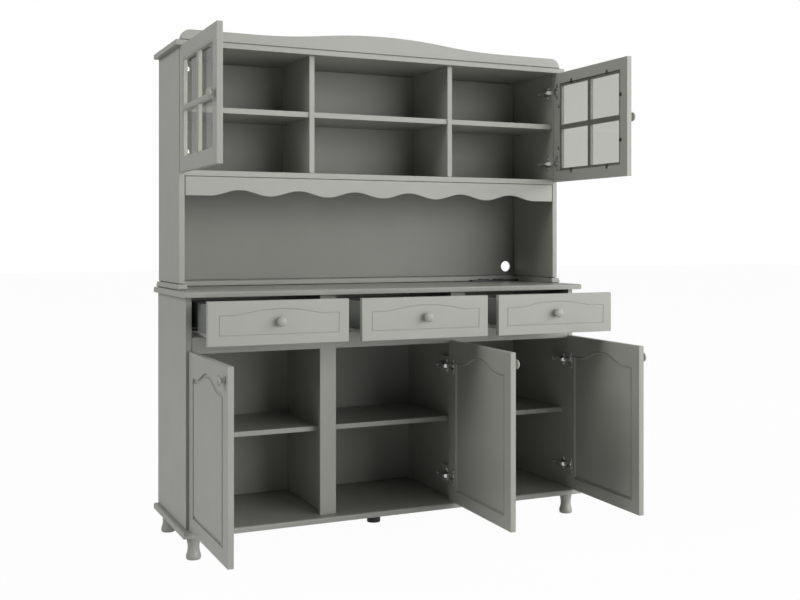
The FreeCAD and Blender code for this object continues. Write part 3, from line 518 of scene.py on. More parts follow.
def moulded_plastic(name, colour, roughness):
    """Spark-textured moulded plastic."""
    material, nodes, links, shader = new_material(name)
    place = nodes.new("ShaderNodeTexCoord").outputs["Object"]
    grain = noise(nodes, links, place, 1800).outputs["Fac"]
    patches = noise(nodes, links, place, 60).outputs["Fac"]
    links.new(spread(nodes, links, patches, roughness - 0.07, roughness + 0.07),
              shader.inputs["Roughness"])
    links.new(between(nodes, links, patches, scaled_colour(colour, 0.8),
                      scaled_colour(colour, 1.25)), shader.inputs["Base Color"])
    add_bump(nodes, links, shader, grain, 0.3, GRAIN_HEIGHT)
    return material


black_plastic = moulded_plastic("black_plastic", (0.02, 0.02, 0.021), 0.42)
CENTRE_PROFILE = [(0, 0), (21.5, 0), (22.8, 0.5), (23.2, 1.6), (23.2, 9), (22.4, 9.6),
                  (22.4, 10.6), (23.2, 11.2), (23.2, 64.6), (23.6, 65.6), (24.6, 66),
                  (26.3, 66), (27, 66.7), (27, 71.3), (26.4, 72), (0, 72)]
centre = lathe(bmesh.new(), in_mm(CENTRE_PROFILE), 48)
finish_piece(as_piece("centre_foot_moulded", centre), black_plastic, "cabinet",
             ("centre_foot",))

# Drawer runners and packers.
# Rolled steel runners, zinc plated: a channel screwed to the case and a rail under each drawer
# side. Painted strips of wood pack them out behind the stiles.

softened("fixed_runners", 0.0003, "cabinet", zinc, segments=1)
board("packers", 0.0008)
for bay in ("left", "middle", "right"):
    softened(f"moving_rails_{bay}", 0.0003, f"drawer_{bay}", zinc, segments=1)


HEAD_SINK = 0.0004
HEAD_PROFILE = [(1, 0.25), (0.93, 0.62), (0.7, 0.92), (0.52, 1), (0.42, 0.35), (0, 0.2)]
CROSS_ARM = 0.62
CROSS_HALF = 0.13
CROSS_TAPER = 0.55


def screw_head(radius, rise):
    """A pan head with a cross recess, standing on its seat."""
    form = bmesh.new()
    lathe(form, [(0, -HEAD_SINK), (radius * 0.94, -HEAD_SINK)] +
          [(radius * out, rise * up) for out, up in HEAD_PROFILE], 16)
    arm = radius * CROSS_ARM
    half = radius * CROSS_HALF
    for turn in (0, math.pi / 2):
        spin = Matrix.Rotation(turn, 4, "Z")
        corners = [spin @ Vector((x, y, rise * 1.02)) for x, y in
                   ((-arm, -half), (arm, -half), (arm, half), (-arm, half))]
        top = [form.verts.new(corner) for corner in corners]
        deep = [form.verts.new((corner.x * CROSS_TAPER, corner.y * CROSS_TAPER, rise / 2))
                for corner in corners]
        form.faces.new(deep)
        bridge(form, top, deep)
    return form


# Cup hinges on the case.
# Each concealed hinge has a nickel arm on a steel cross plate that is screwed to the case wall.
# Two screws hold the plate, and two more in the arm set the door.


def hinge_of(joint_name):
    """The pivot, the hand (1 where the door hangs on its left) and the turn at rest."""
    joint = next(item for item in frame["record"]["behaviour"]["joints"]
                 if item["name"] == joint_name)
    hand = -joint["axis"][2]
    return joint["pos_m"], hand, math.radians(-joint["range_deg"][0])


def door_place(joint_name):
    """Carries a door drawn shut, X from its pivot and Y towards the case, to where it stands."""
    pivot, hand, turn = hinge_of(joint_name)
    move = Matrix.Translation((pivot[0], pivot[1], 0)) @ Matrix.Rotation(-hand * turn, 4, "Z")
    return move, hand


nickel = metal("nickel_plate", (0.72, 0.72, 0.70), 0.24, streak=(300, 300, 300), bump=0.05)


def circle_points(x, z, radius, steps=36):
    return [(x + radius * math.cos(2 * math.pi * k / steps),
             z + radius * math.sin(2 * math.pi * k / steps)) for k in range(steps)]


def rectangle_points(x0, x1, z0, z1, inset=0.0):
    return [(x0 + inset, z0 + inset), (x1 - inset, z0 + inset), (x1 - inset, z1 - inset),
            (x0 + inset, z1 - inset)]


def prism(form, outline, low, high, place):
    """A straight prism: an outline carried from one level to another."""
    under = [form.verts.new(place(x, y, low)) for x, y in outline]
    over = [form.verts.new(place(x, y, high)) for x, y in outline]
    bridge(form, under, over)
    form.faces.new(under)
    form.faces.new(over)


def rounded_outline(x0, x1, y0, y1, radius, steps=4):
    points = []
    for x, y, start in ((x1 - radius, y0 + radius, -90), (x1 - radius, y1 - radius, 0),
                        (x0 + radius, y1 - radius, 90), (x0 + radius, y0 + radius, 180)):
        for k in range(steps + 1):
            turn = math.radians(start + 90 * k / steps)
            points.append((x + radius * math.cos(turn), y + radius * math.sin(turn)))
    return points


NOSE_FRONT = 13.4
NOSE_BACK = 22.3
NOSE_REACH = 20
KNEE = 13.5
LINK_HALF = 3.5
ARM_HALF = 6
CHEEK_INNER = 4.8
ARM_END = 85.5
ARM_SCREWS = (30, 76)
PLATE = (35, 86.5, -8, 8)
PLATE_WINGS = (35, 50, -24, 24)
PLATE_RISE = 2
PLATE_SCREW_DEPTH = 42.5
PLATE_SCREW_RISES = (-17.5, 17.5)
LOWER_CUPS = (0.081, 0.088)
GLASS_CUPS = (0.067, 0.067)


def hinge_arm(form, pivot, hand, wall, level):
    """One arm on its plate, in millimetres from the pivot: across, back and up."""
    def flat(x, y, z):
        return Vector((pivot[0] + hand * x * MM, pivot[1] + y * MM, level + z * MM))

    def upright(y, z, x):
        return flat(x, y, z)

    outer = wall + NOSE_REACH
    slope = (NOSE_BACK - NOSE_FRONT) / (NOSE_REACH - 1)
    behind = NOSE_FRONT + (KNEE - wall - 1) * slope + 1
    cheek_end = ARM_END - 0.3
    prism(form, rectangle_points(KNEE - 1.3, KNEE + 8, -2, 5), -5.5, 5.5, flat)
    prism(form, circle_points(0, 0, 2, 16), -LINK_HALF, LINK_HALF, flat)
    prism(form, [(0, -1), (KNEE + 1, -1), (KNEE + 1, behind), (KNEE - 1, behind), (KNEE - 1, 1),
                 (0, 1)], -LINK_HALF, LINK_HALF, flat)
    prism(form, [(wall + 1, NOSE_FRONT), (outer, NOSE_BACK), (outer, NOSE_BACK + 2),
                 (wall + 1, NOSE_FRONT + 2)], -ARM_HALF, ARM_HALF, flat)
    prism(form, rectangle_points(outer - 1.5, outer, NOSE_BACK + 0.5, ARM_END), -ARM_HALF,
          ARM_HALF, flat)
    for low, high in ((-ARM_HALF, -CHEEK_INNER), (CHEEK_INNER, ARM_HALF)):
        prism(form, [(wall + 8, NOSE_BACK), (outer - 0.5, NOSE_BACK), (outer - 0.5, cheek_end),
                     (wall + 10, cheek_end)], low, high, flat)
    prism(form, circle_points(outer - 3, ARM_END - 1, 2.4, 14), -4.2, 4.2, flat)
    prism(form, rectangle_points(wall + 1.8, outer - 1, 37, 75), -4.2, 4.2, flat)
    prism(form, rounded_outline(*PLATE, 4), wall, wall + 1.6, upright)
    prism(form, rounded_outline(*PLATE_WINGS, 6), wall, wall + PLATE_RISE, upright)


arms = bmesh.new()
spots = []
for set_of_doors, node, insets, side in (
        ("door", "lower_door", LOWER_CUPS, "base_side_left"),
        ("glass_door", "glass_door_frame", GLASS_CUPS, "hutch_side_left")):
    first_pivot = hinge_of(f"{set_of_doors}_left_hinge")[0]
    wall = (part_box(side)[1].x - first_pivot[0]) / MM
    for door in ("left", "middle", "right"):
        if f"{node}_{door}" not in frame["nodes"]:
            continue
        pivot, hand, turn = hinge_of(f"{set_of_doors}_{door}_hinge")
        low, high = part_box(f"{node}_{door}")
        for level in (low.z + insets[0], high.z - insets[1]):
            hinge_arm(arms, pivot, hand, wall, level)
            for rise in PLATE_SCREW_RISES:
                spots.append(((pivot[0] + hand * (wall + PLATE_RISE) * MM,
                               pivot[1] + PLATE_SCREW_DEPTH * MM, level + rise * MM),
                              (hand, 0, 0), rise))
            for depth in ARM_SCREWS:
                spots.append(((pivot[0] + hand * (wall + NOSE_REACH) * MM, pivot[1] + depth * MM,
                               level), (hand, 0, 0), depth))
bmesh.ops.recalc_face_normals(arms, faces=arms.faces)
arms = as_piece("hinge_arms_set", arms)
rounded(arms, 0.0004)
finish_piece(flat_faced(arms), nickel, "cabinet", ("hinge_arms",))
set_out("hinge_screws", screw_head(0.0036, 0.0018), spots, nickel, "cabinet")

# Cup hinges in the doors.
# The cup is pressed into a bored hole and held by two screws through its flange.

for door in ("left", "middle", "right"):
    softened(f"lower_hinge_cups_{door}", 0.0003, f"door_{door}", nickel)

# Lower doors.
# Slabs of fibre board. A router has cut an arched line into the face and sunk a field of the
# same outline into the back, and the paint has rounded every edge a little.

DOOR_EDGE = 0.0011
DOOR_INNER = 0.011
DOOR_OUTER = -0.007
HINGE_EDGE = -0.006
DOOR_WIDTH = 0.436
CUP_CENTRE = 0.0135
CUP_HOLE = 0.0176
CUP_DEPTH = 0.0143


def arched_loop(half_width, low, shoulder, arch_half, rise, inset):
    """A panel line with a double curve on top, as (across, up) points from its middle."""
    radius = (arch_half * arch_half + rise * rise) / (4 * rise)
    swing = math.asin(arch_half / 2 / radius)
    right = half_width - inset
    level = shoulder - inset
    steps = 9
    points = [(-right, low + inset), (right, low + inset), (right, level)]
    for k in range(steps + 1):
        turn = swing * k / steps
        points.append((arch_half - (radius + inset) * math.sin(turn),
                       shoulder + radius - (radius + inset) * math.cos(turn)))
    for k in range(1, 2 * steps):
        turn = swing - swing * k / steps
        points.append(((radius - inset) * math.sin(turn),
                       shoulder + rise - radius + (radius - inset) * math.cos(turn)))
    for k in range(steps + 1):
        turn = swing - swing * k / steps
        points.append((-arch_half + (radius + inset) * math.sin(turn),
                       shoulder + radius - (radius + inset) * math.cos(turn)))
    points.append((-right, level))
    return points


def loop_of(form, points, depth, place):
    return [form.verts.new(place(across, depth, up)) for across, up in points]


def flat_between(form, loops):
    """Fills the flat field between an outer loop and the loops inside it."""
    edges = []
    for loop in loops:
        for k, corner in enumerate(loop):
            after = loop[(k + 1) % len(loop)]
            edges.append(form.edges.get((corner, after)) or form.edges.new((corner, after)))
    bmesh.ops.triangle_fill(form, use_beauty=True, use_dissolve=False, edges=edges)


EDGE_STEPS = [(1.0, 0.0), (0.617, 0.076), (0.293, 0.293), (0.076, 0.617), (0.0, 1.0)]


def slab_rim(form, place, across, up, outer, inner, edge=DOOR_EDGE):
    """The slab's four edges with their rounding; returns the loops that bound its two faces."""
    loops = []
    for inset, depth in EDGE_STEPS:
        loops.append(loop_of(form, rectangle_points(*across, *up, inset * edge),
                             outer + depth * edge, place))
    for inset, depth in reversed(EDGE_STEPS):
        loops.append(loop_of(form, rectangle_points(*across, *up, inset * edge),
                             inner - depth * edge, place))
    for first, second in zip(loops, loops[1:]):
        bridge(form, first, second)
    return loops[0], loops[-1]


def nested(form, place, shape, steps, face, sign):
    """Nested copies of a panel line, from (inset, depth) steps in millimetres."""
    loops = [loop_of(form, shape(inset * MM), face + sign * depth * MM, place)
             for inset, depth in steps]
    for first, second in zip(loops, loops[1:]):
        bridge(form, first, second)
    return loops[0], loops[-1]


def bored(form, place, levels):
    """Blind holes for the hinge cups at the given levels; returns their mouths."""
    mouths = []
    for level in levels:
        ring = circle_points(CUP_CENTRE, level, CUP_HOLE)
        mouth = loop_of(form, ring, DOOR_INNER, place)
        deep = loop_of(form, ring, DOOR_INNER - CUP_DEPTH, place)
        bridge(form, mouth, deep)
        form.faces.new(deep)
        mouths.append(mouth)
    return mouths


def drawn_shut(move, hand):
    """Carries a point of the shut door (across, in, up) to where the door stands."""
    def place(across, depth, up):
        return move @ Vector((hand * across, depth, up))

    return place


def finish_slab(name, form, body, node):
    """A painted slab, with its faces turned outwards."""
    bmesh.ops.recalc_face_normals(form, faces=form.faces)
    return finish_piece(flat_faced(as_piece(name, form)), sage_paint, body, (node,))


GROOVE = [(0, 0), (0.2, 0.2), (0.35, 0.8), (0.6, 5.0), (1.0, 5.8), (1.8, 6.0), (3.4, 6.0),
          (6.6, 5.6), (9.2, 5.0), (10.8, 4.2), (11.7, 3.0), (12.3, 1.6), (12.7, 0.5), (13.1, 0)]
RECESS = [(-5.0, 0), (-4.8, 0.2), (-4.5, 2.6), (-3.9, 3.2), (-2.3, 3.2), (-1.7, 2.6), (-1.4, 0.2),
          (-1.2, 0), (-0.4, 0), (0, 0.2), (0.3, 0.8), (0.7, 2.4), (1.4, 3.6), (2.6, 4.3),
          (4.2, 4.5), (5.6, 4.5)]
LINE_FROM_SIDE = 0.047
LINE_FROM_BOTTOM = 0.045
SHOULDER_FROM_TOP = 0.075
ARCH_HALF = 0.14022
ARCH_RISE = 0.033
for door in ("left", "middle", "right"):
    move, hand = door_place(f"door_{door}_hinge")
    low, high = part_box(f"lower_door_{door}")
    middle = HINGE_EDGE + DOOR_WIDTH / 2
    at = drawn_shut(move, hand)

    def panel(inset):
        points = arched_loop(DOOR_WIDTH / 2 - LINE_FROM_SIDE, low.z + LINE_FROM_BOTTOM,
                             high.z - SHOULDER_FROM_TOP, ARCH_HALF, ARCH_RISE, inset)
        return [(middle + x, z) for x, z in points]

    form = bmesh.new()
    front, back = slab_rim(form, at, (HINGE_EDGE, HINGE_EDGE + DOOR_WIDTH), (low.z, high.z),
                           DOOR_OUTER, DOOR_INNER)
    first, last = nested(form, at, panel, GROOVE, DOOR_OUTER, 1)
    flat_between(form, [front, first])
    form.faces.new(last)
    first, last = nested(form, at, panel, RECESS, DOOR_INNER, -1)
    cups = bored(form, at, (high.z - LOWER_CUPS[1], low.z + LOWER_CUPS[0]))
    flat_between(form, [back, first] + cups)
    form.faces.new(last)
    finish_slab(f"lower_door_{door}_slab", form, f"door_{door}", f"lower_door_{door}")

# Knobs.
# Small turned wooden knobs with a foot, a waist and a domed head, painted with the doors and
# held by one screw from behind.

KNOB_PROFILE = [(0, 0), (9.4, 0), (10.1, 0.5), (10.3, 1.3), (9.9, 2.3), (8.7, 3.5), (7.6, 5),
                (7.1, 7), (7.2, 9), (8.2, 10.8), (10.4, 12.2), (12.9, 13.3), (14.4, 14.7),
                (15.0, 16.6), (14.8, 18.5), (13.6, 20.4), (11.4, 22), (8.4, 23.2), (4.6, 23.8),
                (0, 24)]


def knob_piece(name, node, move, place, body):
    """One knob, its foot on the given place of the face."""
    form = bmesh.new()
    stand = move @ Matrix.Translation(place) @ Matrix.Rotation(math.pi / 2, 4, "X")
    lathe(form, in_mm(KNOB_PROFILE), 40, stand)
    return finish_piece(as_piece(name, form), sage_paint, body, (node,))


KNOB_FROM_SIDE = 0.028
KNOB_FROM_TOP = 0.039
for door in ("left", "middle", "right"):
    move, hand = door_place(f"door_{door}_hinge")
    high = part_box(f"lower_door_{door}")[1]
    knob_piece(f"lower_knob_{door}_turned", f"lower_knob_{door}", move,
               (hand * (HINGE_EDGE + DOOR_WIDTH - KNOB_FROM_SIDE), DOOR_OUTER,
                high.z - KNOB_FROM_TOP), f"door_{door}")

# Drawers.
# A painted front with a fine arched line, screwed to a box of foil-wrapped board with a thin
# bottom in a groove.

foil, nodes, links, shader = new_material("drawer_foil")
grain = noise(nodes, links, stretched(nodes, links, (60, 12, 260)), 2, 6).outputs["Fac"]
links.new(between(nodes, links, grain, (0.118, 0.125, 0.110), (0.175, 0.183, 0.162)),
          shader.inputs["Base Color"])
shader.inputs["Roughness"].default_value = 0.5
add_bump(nodes, links, shader, grain, 0.1, 0.0003)

FINE = [(0, 0), (0.3, 0.15), (0.7, 0.9), (1.3, 1.35), (2.0, 1.45), (2.7, 1.35), (3.3, 0.9),
        (3.7, 0.15), (4.0, 0)]


def bowed_loop(half_width, low, shoulder, bow_half, rise, inset):
    """A panel line with one flat bow on top, as (across, up) points from its middle."""
    radius = (bow_half * bow_half + rise * rise) / (2 * rise)
    reach = math.sqrt(rise * (2 * radius - rise - 2 * inset))
    swing = math.asin(reach / (radius - inset))
    right = half_width - inset
    steps = 28
    points = [(-right, low + inset), (right, low + inset), (right, shoulder - inset)]
    for k in range(steps + 1):
        turn = swing - 2 * swing * k / steps
        points.append(((radius - inset) * math.sin(turn),
                       shoulder + rise - radius + (radius - inset) * math.cos(turn)))
    points.append((-right, shoulder - inset))
    return points


FINE_FROM_SIDE = 0.031
FINE_FROM_BOTTOM = 0.028
FINE_SHOULDER = 0.091
BOW_SHARE = 0.68
BOW_RISE = 0.016
KNOB_ABOVE_MIDDLE = 0.0025
at = drawn_shut(Matrix(), 1)
for bay in ("left", "middle", "right"):
    body = f"drawer_{bay}"
    low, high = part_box(f"drawer_front_{bay}")
    middle = (low.x + high.x) / 2
    line_half = (high.x - low.x) / 2 - FINE_FROM_SIDE

    def panel(inset):
        points = bowed_loop(line_half, low.z + FINE_FROM_BOTTOM, low.z + FINE_SHOULDER,
                            line_half * BOW_SHARE, BOW_RISE, inset)
        return [(middle + x, z) for x, z in points]

    form = bmesh.new()
    front, back = slab_rim(form, at, (low.x, high.x), (low.z, high.z), low.y, high.y)
    first, last = nested(form, at, panel, FINE, low.y, 1)
    flat_between(form, [front, first])
    form.faces.new(last)
    form.faces.new(back)
    finish_slab(f"drawer_front_{bay}_slab", form, body, f"drawer_front_{bay}")
    knob_piece(f"drawer_knob_{bay}_turned", f"drawer_knob_{bay}", Matrix(),
               (middle, low.y, (low.z + high.z) / 2 + KNOB_ABOVE_MIDDLE), body)
    softened(f"drawer_box_{bay}", 0.0006, body, foil)
    softened(f"drawer_bottom_{bay}", 0.0003, body, foil, segments=1)

# Hutch base.
# A strip with a small step along its top lies under each side of the hutch, and a plain third
# one joins them at the back. They are glued to the counter, and painted with the hutch.

STRIP_GAP = 0.0024
strips = board("hutch_base_strips", 0.0012)
low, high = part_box("hutch_base_strips")
back_strip_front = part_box("outlet_bar")[1].y
for face in (*side_faces(low, high), (1, low.y, 1), (1, back_strip_front, 1)):
    relieved(strips, face, (2, low.z, 1), gap=STRIP_GAP)

# Hutch case.
# Two sides, two partitions, a floor board and three shelves of 18 mm board, and a thin back with
# a round hole for a cable.

WIDE_GAP = 0.0026
for node in ("hutch_side_left", "hutch_side_right", "hutch_partition_left",
             "hutch_partition_right"):
    upright = board(node, 0.0009)
    low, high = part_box(node)
    foot = (2, low.z, 1)
    for face in side_faces(low, high):
        relieved(upright, face, foot, gap=WIDE_GAP if "side" in node else NARROW_GAP)
        if "partition" in node:
            relieved(upright, face, (1, high.y, -1))
    if "side" in node:
        relieved(upright, (1, low.y, 1), foot, gap=WIDE_GAP)
board("hutch_floor_board", 0.0009)
loose_shelves("hutch_shelves")
# The hutch back is painted darker than the boards: painted shade for the niche and cubbies, where
# shade falls on it.
hutch_back_paint_and_shade = painted("hutch_back_paint_and_shade", (0.252, 0.257, 0.229), 0.55)
low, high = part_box("hutch_back_panel")
thin_back("hutch_back_panel", hutch_back_paint_and_shade,
          ((2, low.z, 1), (2, high.z, -1), *side_faces(low, high)), 0.0036, 0.0042)

# Valance.
# A thin board under the hutch floor, its lower edge cut in six waves with a flat at each end.
WAVES = 6.0
WAVE_RISE = 0.019
END_FLAT = 0.08
COLUMNS = 341
VALANCE_TOP_GAP = 0.002
VALANCE_END_GAP = 0.0028
VALANCE_EDGE_ABOVE = math.radians(40)


def valance_layout():
    """A board as a grid whose lower row follows the waves, then given its thickness."""
    tree = bpy.data.node_groups.new("valance_layout", "GeometryNodeTree")
    tree.interface.new_socket(name="Start", in_out="INPUT", socket_type="NodeSocketGeometry")
    for label in ("Width", "Depth", "Rise", "End Flat", "Waves", "Thickness"):
        tree.interface.new_socket(name=label, in_out="INPUT", socket_type="NodeSocketFloat")
    tree.interface.new_socket(name="Finish", in_out="INPUT", socket_type="NodeSocketMaterial")
    tree.interface.new_socket(name="Valance", in_out="OUTPUT", socket_type="NodeSocketGeometry")
    nodes, links = tree.nodes, tree.links
    given = nodes.new("NodeGroupInput")
    result = nodes.new("NodeGroupOutput")

    def step(operation, *values):
        return sums(nodes, links, operation, *values)

    sheet = nodes.new("GeometryNodeMeshGrid")
    sheet.inputs["Vertices X"].default_value = COLUMNS
    sheet.inputs["Vertices Y"].default_value = 2
    links.new(given.outputs["Width"], sheet.inputs["Size X"])
    links.new(given.outputs["Depth"], sheet.inputs["Size Y"])
    spot = nodes.new("GeometryNodeInputPosition")
    parts = nodes.new("ShaderNodeSeparateXYZ")
    links.new(spot.outputs["Position"], parts.inputs["Vector"])
    wave_end = step("SUBTRACT", step("MULTIPLY", given.outputs["Width"], 0.5),
                    given.outputs["End Flat"])
    inside = step("LESS_THAN", step("ABSOLUTE", parts.outputs["X"]), wave_end)
    travel = step("DIVIDE", step("ADD", parts.outputs["X"], wave_end),
                  step("MULTIPLY", wave_end, 2))
    angle = step("MULTIPLY", step("MULTIPLY", travel, given.outputs["Waves"]), 2 * math.pi)
    swell = step("MULTIPLY_ADD", step("COSINE", angle), -0.5, 0.5)
    lift = step("MULTIPLY", step("MULTIPLY", swell, given.outputs["Rise"]), inside)
    lower = step("LESS_THAN", parts.outputs["Y"], 0)
    push = nodes.new("ShaderNodeCombineXYZ")
    links.new(step("MULTIPLY", lift, lower), push.inputs["Y"])
    shaped = nodes.new("GeometryNodeSetPosition")
    links.new(sheet.outputs["Mesh"], shaped.inputs["Geometry"])
    links.new(push.outputs["Vector"], shaped.inputs["Offset"])
    thick = nodes.new("GeometryNodeExtrudeMesh")
    thick.inputs["Individual"].default_value = False
    links.new(shaped.outputs["Geometry"], thick.inputs["Mesh"])
    links.new(given.outputs["Thickness"], thick.inputs["Offset Scale"])
    underside = nodes.new("GeometryNodeFlipFaces")
    links.new(shaped.outputs["Geometry"], underside.inputs["Mesh"])
    both = nodes.new("GeometryNodeJoinGeometry")
    links.new(thick.outputs["Mesh"], both.inputs["Geometry"])
    links.new(underside.outputs["Mesh"], both.inputs["Geometry"])
    closed = nodes.new("GeometryNodeMergeByDistance")
    closed.inputs["Distance"].default_value = 0.00001
    links.new(both.outputs["Geometry"], closed.inputs["Geometry"])
    real = nodes.new("GeometryNodeRealizeInstances")
    links.new(closed.outputs["Geometry"], real.inputs["Geometry"])
    finish = nodes.new("GeometryNodeSetMaterial")
    links.new(real.outputs["Geometry"], finish.inputs["Geometry"])
    links.new(given.outputs["Finish"], finish.inputs["Material"])
    links.new(finish.outputs["Geometry"], result.inputs["Valance"])
    return tree


low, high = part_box("valance")
valance = baked("valance_waves", bpy.data.meshes.new("valance_start"), valance_layout(),
                {"Width": high.x - low.x, "Depth": high.z - low.z, "Rise": WAVE_RISE,
                 "End Flat": END_FLAT, "Waves": WAVES, "Thickness": high.y - low.y,
                 "Finish": sage_paint})
stand = Matrix.Translation(((low.x + high.x) / 2, high.y, (low.z + high.z) / 2))
valance.data.transform(stand @ Matrix.Rotation(math.pi / 2, 4, "X"))
relieved(valance, (1, low.y, 1), (2, high.z, -1), gap=VALANCE_TOP_GAP)
for edge in side_faces(low, high):
    relieved(valance, (1, low.y, 1), edge, gap=VALANCE_END_GAP)
rounded(valance, 0.0009, above=VALANCE_EDGE_ABOVE)
finish_piece(flat_faced(valance), sage_paint, "cabinet", ("valance",))

# Cornice and crown.
# A flat cornice board with rounded edges closes the top of the hutch. The crown board stands in
# front of it, its top edge sawn in one long wave with quarter rounds at the ends.

board("cornice", 0.0010)
crown = board("crown_board", 0.0012, segments=3)
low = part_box("crown_board")[0]
relieved(crown, (1, low.y, 1), (2, low.z, 1), gap=WIDE_GAP)

# Glass doors.
# One board with four lights cut out of it, each with a stepped lip on the face, and a rebate
# behind for the pane.

GLASS_WIDTH = 0.441
MEMBER = 0.048
MUNTIN = 0.017
REBATE = 0.009
PANE_SEAT = 0.0065
GLASS_KNOB_FROM_SIDE = 0.02
LIP = [(-5.6, 0), (-5.3, 0.15), (-5.0, 0.5), (-4.8, 1.1), (-4.2, 1.35), (-1.6, 1.6), (-0.8, 1.8),
       (-0.25, 2.3), (0, 3.1), (0, 13.5)]
glass_edges = {}
for door in ("left", "right"):
    move, hand = door_place(f"glass_door_{door}_hinge")
    low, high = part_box(f"glass_door_frame_{door}")
    near = HINGE_EDGE + MEMBER
    far = HINGE_EDGE + GLASS_WIDTH - MEMBER
    middle = (near + far) / 2
    bottom = low.z + MEMBER
    top = high.z - MEMBER
    level = (bottom + top) / 2
    at = drawn_shut(move, hand)
    form = bmesh.new()
    front, back = slab_rim(form, at, (HINGE_EDGE, HINGE_EDGE + GLASS_WIDTH), (low.z, high.z),
                           DOOR_OUTER, DOOR_INNER)
    mouths = []
    seats = []
    for x0, x1 in ((near, middle - MUNTIN / 2), (middle + MUNTIN / 2, far)):
        for z0, z1 in ((bottom, level - MUNTIN / 2), (level + MUNTIN / 2, top)):
            first, last = nested(form, at, lambda inset: rectangle_points(x0, x1, z0, z1, inset),
                                 LIP, DOOR_OUTER, 1)
            mouths.append(first)
            seats.append(last)
    flat_between(form, [front] + mouths)
    ledge = rectangle_points(near - REBATE, far + REBATE, bottom - REBATE, top + REBATE)
    deep = loop_of(form, ledge, PANE_SEAT, at)
    shallow = loop_of(form, ledge, DOOR_INNER, at)
    bridge(form, deep, shallow)
    flat_between(form, [deep] + seats)
    cups = bored(form, at, (high.z - GLASS_CUPS[1], low.z + GLASS_CUPS[0]))
    flat_between(form, [back, shallow] + cups)
    finish_slab(f"glass_door_{door}_frame", form, f"glass_door_{door}",
                f"glass_door_frame_{door}")
    knob_piece(f"glass_knob_{door}_turned", f"glass_knob_{door}", move,
               (hand * (HINGE_EDGE + GLASS_WIDTH - GLASS_KNOB_FROM_SIDE), DOOR_OUTER, level),
               f"glass_door_{door}")
    glass_edges[door] = (near, far, bottom, top, middle, level)

# Panes.
# Float glass with a grey-green tint, 4 mm thick, laid into the rebate from behind. Its edges are
# ground, and faint waves of tone run through it.

pane_glass, nodes, links, shader = new_material("pane_glass")
place = nodes.new("ShaderNodeTexCoord").outputs["Object"]
waves = noise(nodes, links, place, 6).outputs["Fac"]
links.new(between(nodes, links, waves, (0.492, 0.497, 0.463), (0.532, 0.537, 0.501)),
          shader.inputs["Base Color"])
shader.inputs["Transmission Weight"].default_value = 1
shader.inputs["Roughness"].default_value = 0.0
shader.inputs["IOR"].default_value = 1.3
path = nodes.new("ShaderNodeLightPath")
links.new(sums(nodes, links, "MULTIPLY_ADD", path.outputs["Is Shadow Ray"], -1, 1),
          shader.inputs["Alpha"])
for door in ("left", "right"):
    softened(f"glass_pane_{door}", 0.0004, f"glass_door_{door}", pane_glass, segments=1)

# Glass door hinges and clips.
# The same cups as below. Round clips turn over the pane's edge at the stiles, black on the free
# side, and small forked clips hold it at the rails.

CLIP_PROFILE = [(0, 0), (6.3, 0), (6.8, 0.35), (7, 0.9), (6.9, 1.6), (6.3, 1.95), (3.4, 2),
                (3.1, 1.6), (2.9, 0.9), (0, 0.8)]
CLIP_RISES = (-0.0755, 0.0755)
FORKS_ACROSS = (-0.107, 0.107)
CLIP_CLEARANCE = 0.003
CUPS_WITHIN = 0.034
CUPS_RISE = 0.17


def pane_fork(prong_way):
    """A small plate with two prongs over the pane's edge and a screw through it."""
    form = bmesh.new()

    def flat(x, y, z):
        return Vector((prong_way * x * MM, y * MM, z * MM))

    prism(form, rounded_outline(-6, 1.5, -5.5, 5.5, 1.5), -0.2, 1.2, flat)
    for y in (-5.5, 2.7):
        prism(form, rounded_outline(0.5, 9, y, y + 2.8, 1.2), -0.2, 1.2, flat)
    prism(form, circle_points(-2.2, 0, 2.6, 14), 1, 2.2, flat)
    bmesh.ops.recalc_face_normals(form, faces=form.faces)
    return form


for door in ("left", "right"):
    node = f"glass_door_fittings_{door}"
    body = f"glass_door_{door}"
    move, hand = door_place(f"glass_door_{door}_hinge")
    near, far, bottom, top, middle, level = glass_edges[door]
    form = cad_form(node)
    inverse = move.inverted()
    clips = [vert for vert in form.verts
             if (inverse @ vert.co).x * hand > CUPS_WITHIN or
             abs((inverse @ vert.co).z - level) > CUPS_RISE]
    bmesh.ops.delete(form, geom=clips, context="VERTS")
    merged_flats(form)
    cups = as_piece(f"glass_door_{door}_cups", form)
    rounded(cups, 0.0003)
    finish_piece(flat_faced(cups), nickel, body, (node,))
    aim = move.to_3x3() @ Vector((0, 1, 0))
    off = REBATE + CLIP_CLEARANCE

    def spot_at(across, up):
        return move @ Vector((hand * across, DOOR_INNER, up)), aim, 0

    set_out(f"glass_door_{door}_black_clips", lathe(bmesh.new(), in_mm(CLIP_PROFILE), 28),
            [spot_at(far + off, level + rise) for rise in CLIP_RISES],
            black_plastic, body)
    set_out(f"glass_door_{door}_rings", lathe(bmesh.new(), in_mm(CLIP_PROFILE), 28),
            [spot_at(near - off, level + rise) for rise in CLIP_RISES],
            nickel, body)
    upwards = -1 if aim.x > 0 else 1
    for rail, up, way in (("low", bottom - off, upwards), ("high", top + off, -upwards)):
        set_out(f"glass_door_{door}_{rail}_forks", pane_fork(way),
                [spot_at(middle + across, up) for across in FORKS_ACROSS], dark_steel,
                body)

# Outlet bar.
# A slim moulded bar with two raised sockets, pushed into the corner behind the niche.

softened("outlet_bar", 0.0009, "cabinet", black_plastic)

# Light, floor and camera.
# Square soft lamps stand to the right and the left and over the front. The floor and the
# surroundings are plain white.

AMBIENT = 0.05
MIRRORED_SHARE = 0.5
FLOOR_HALF = 30
FLOOR_WHITE_SHARE = 0.97


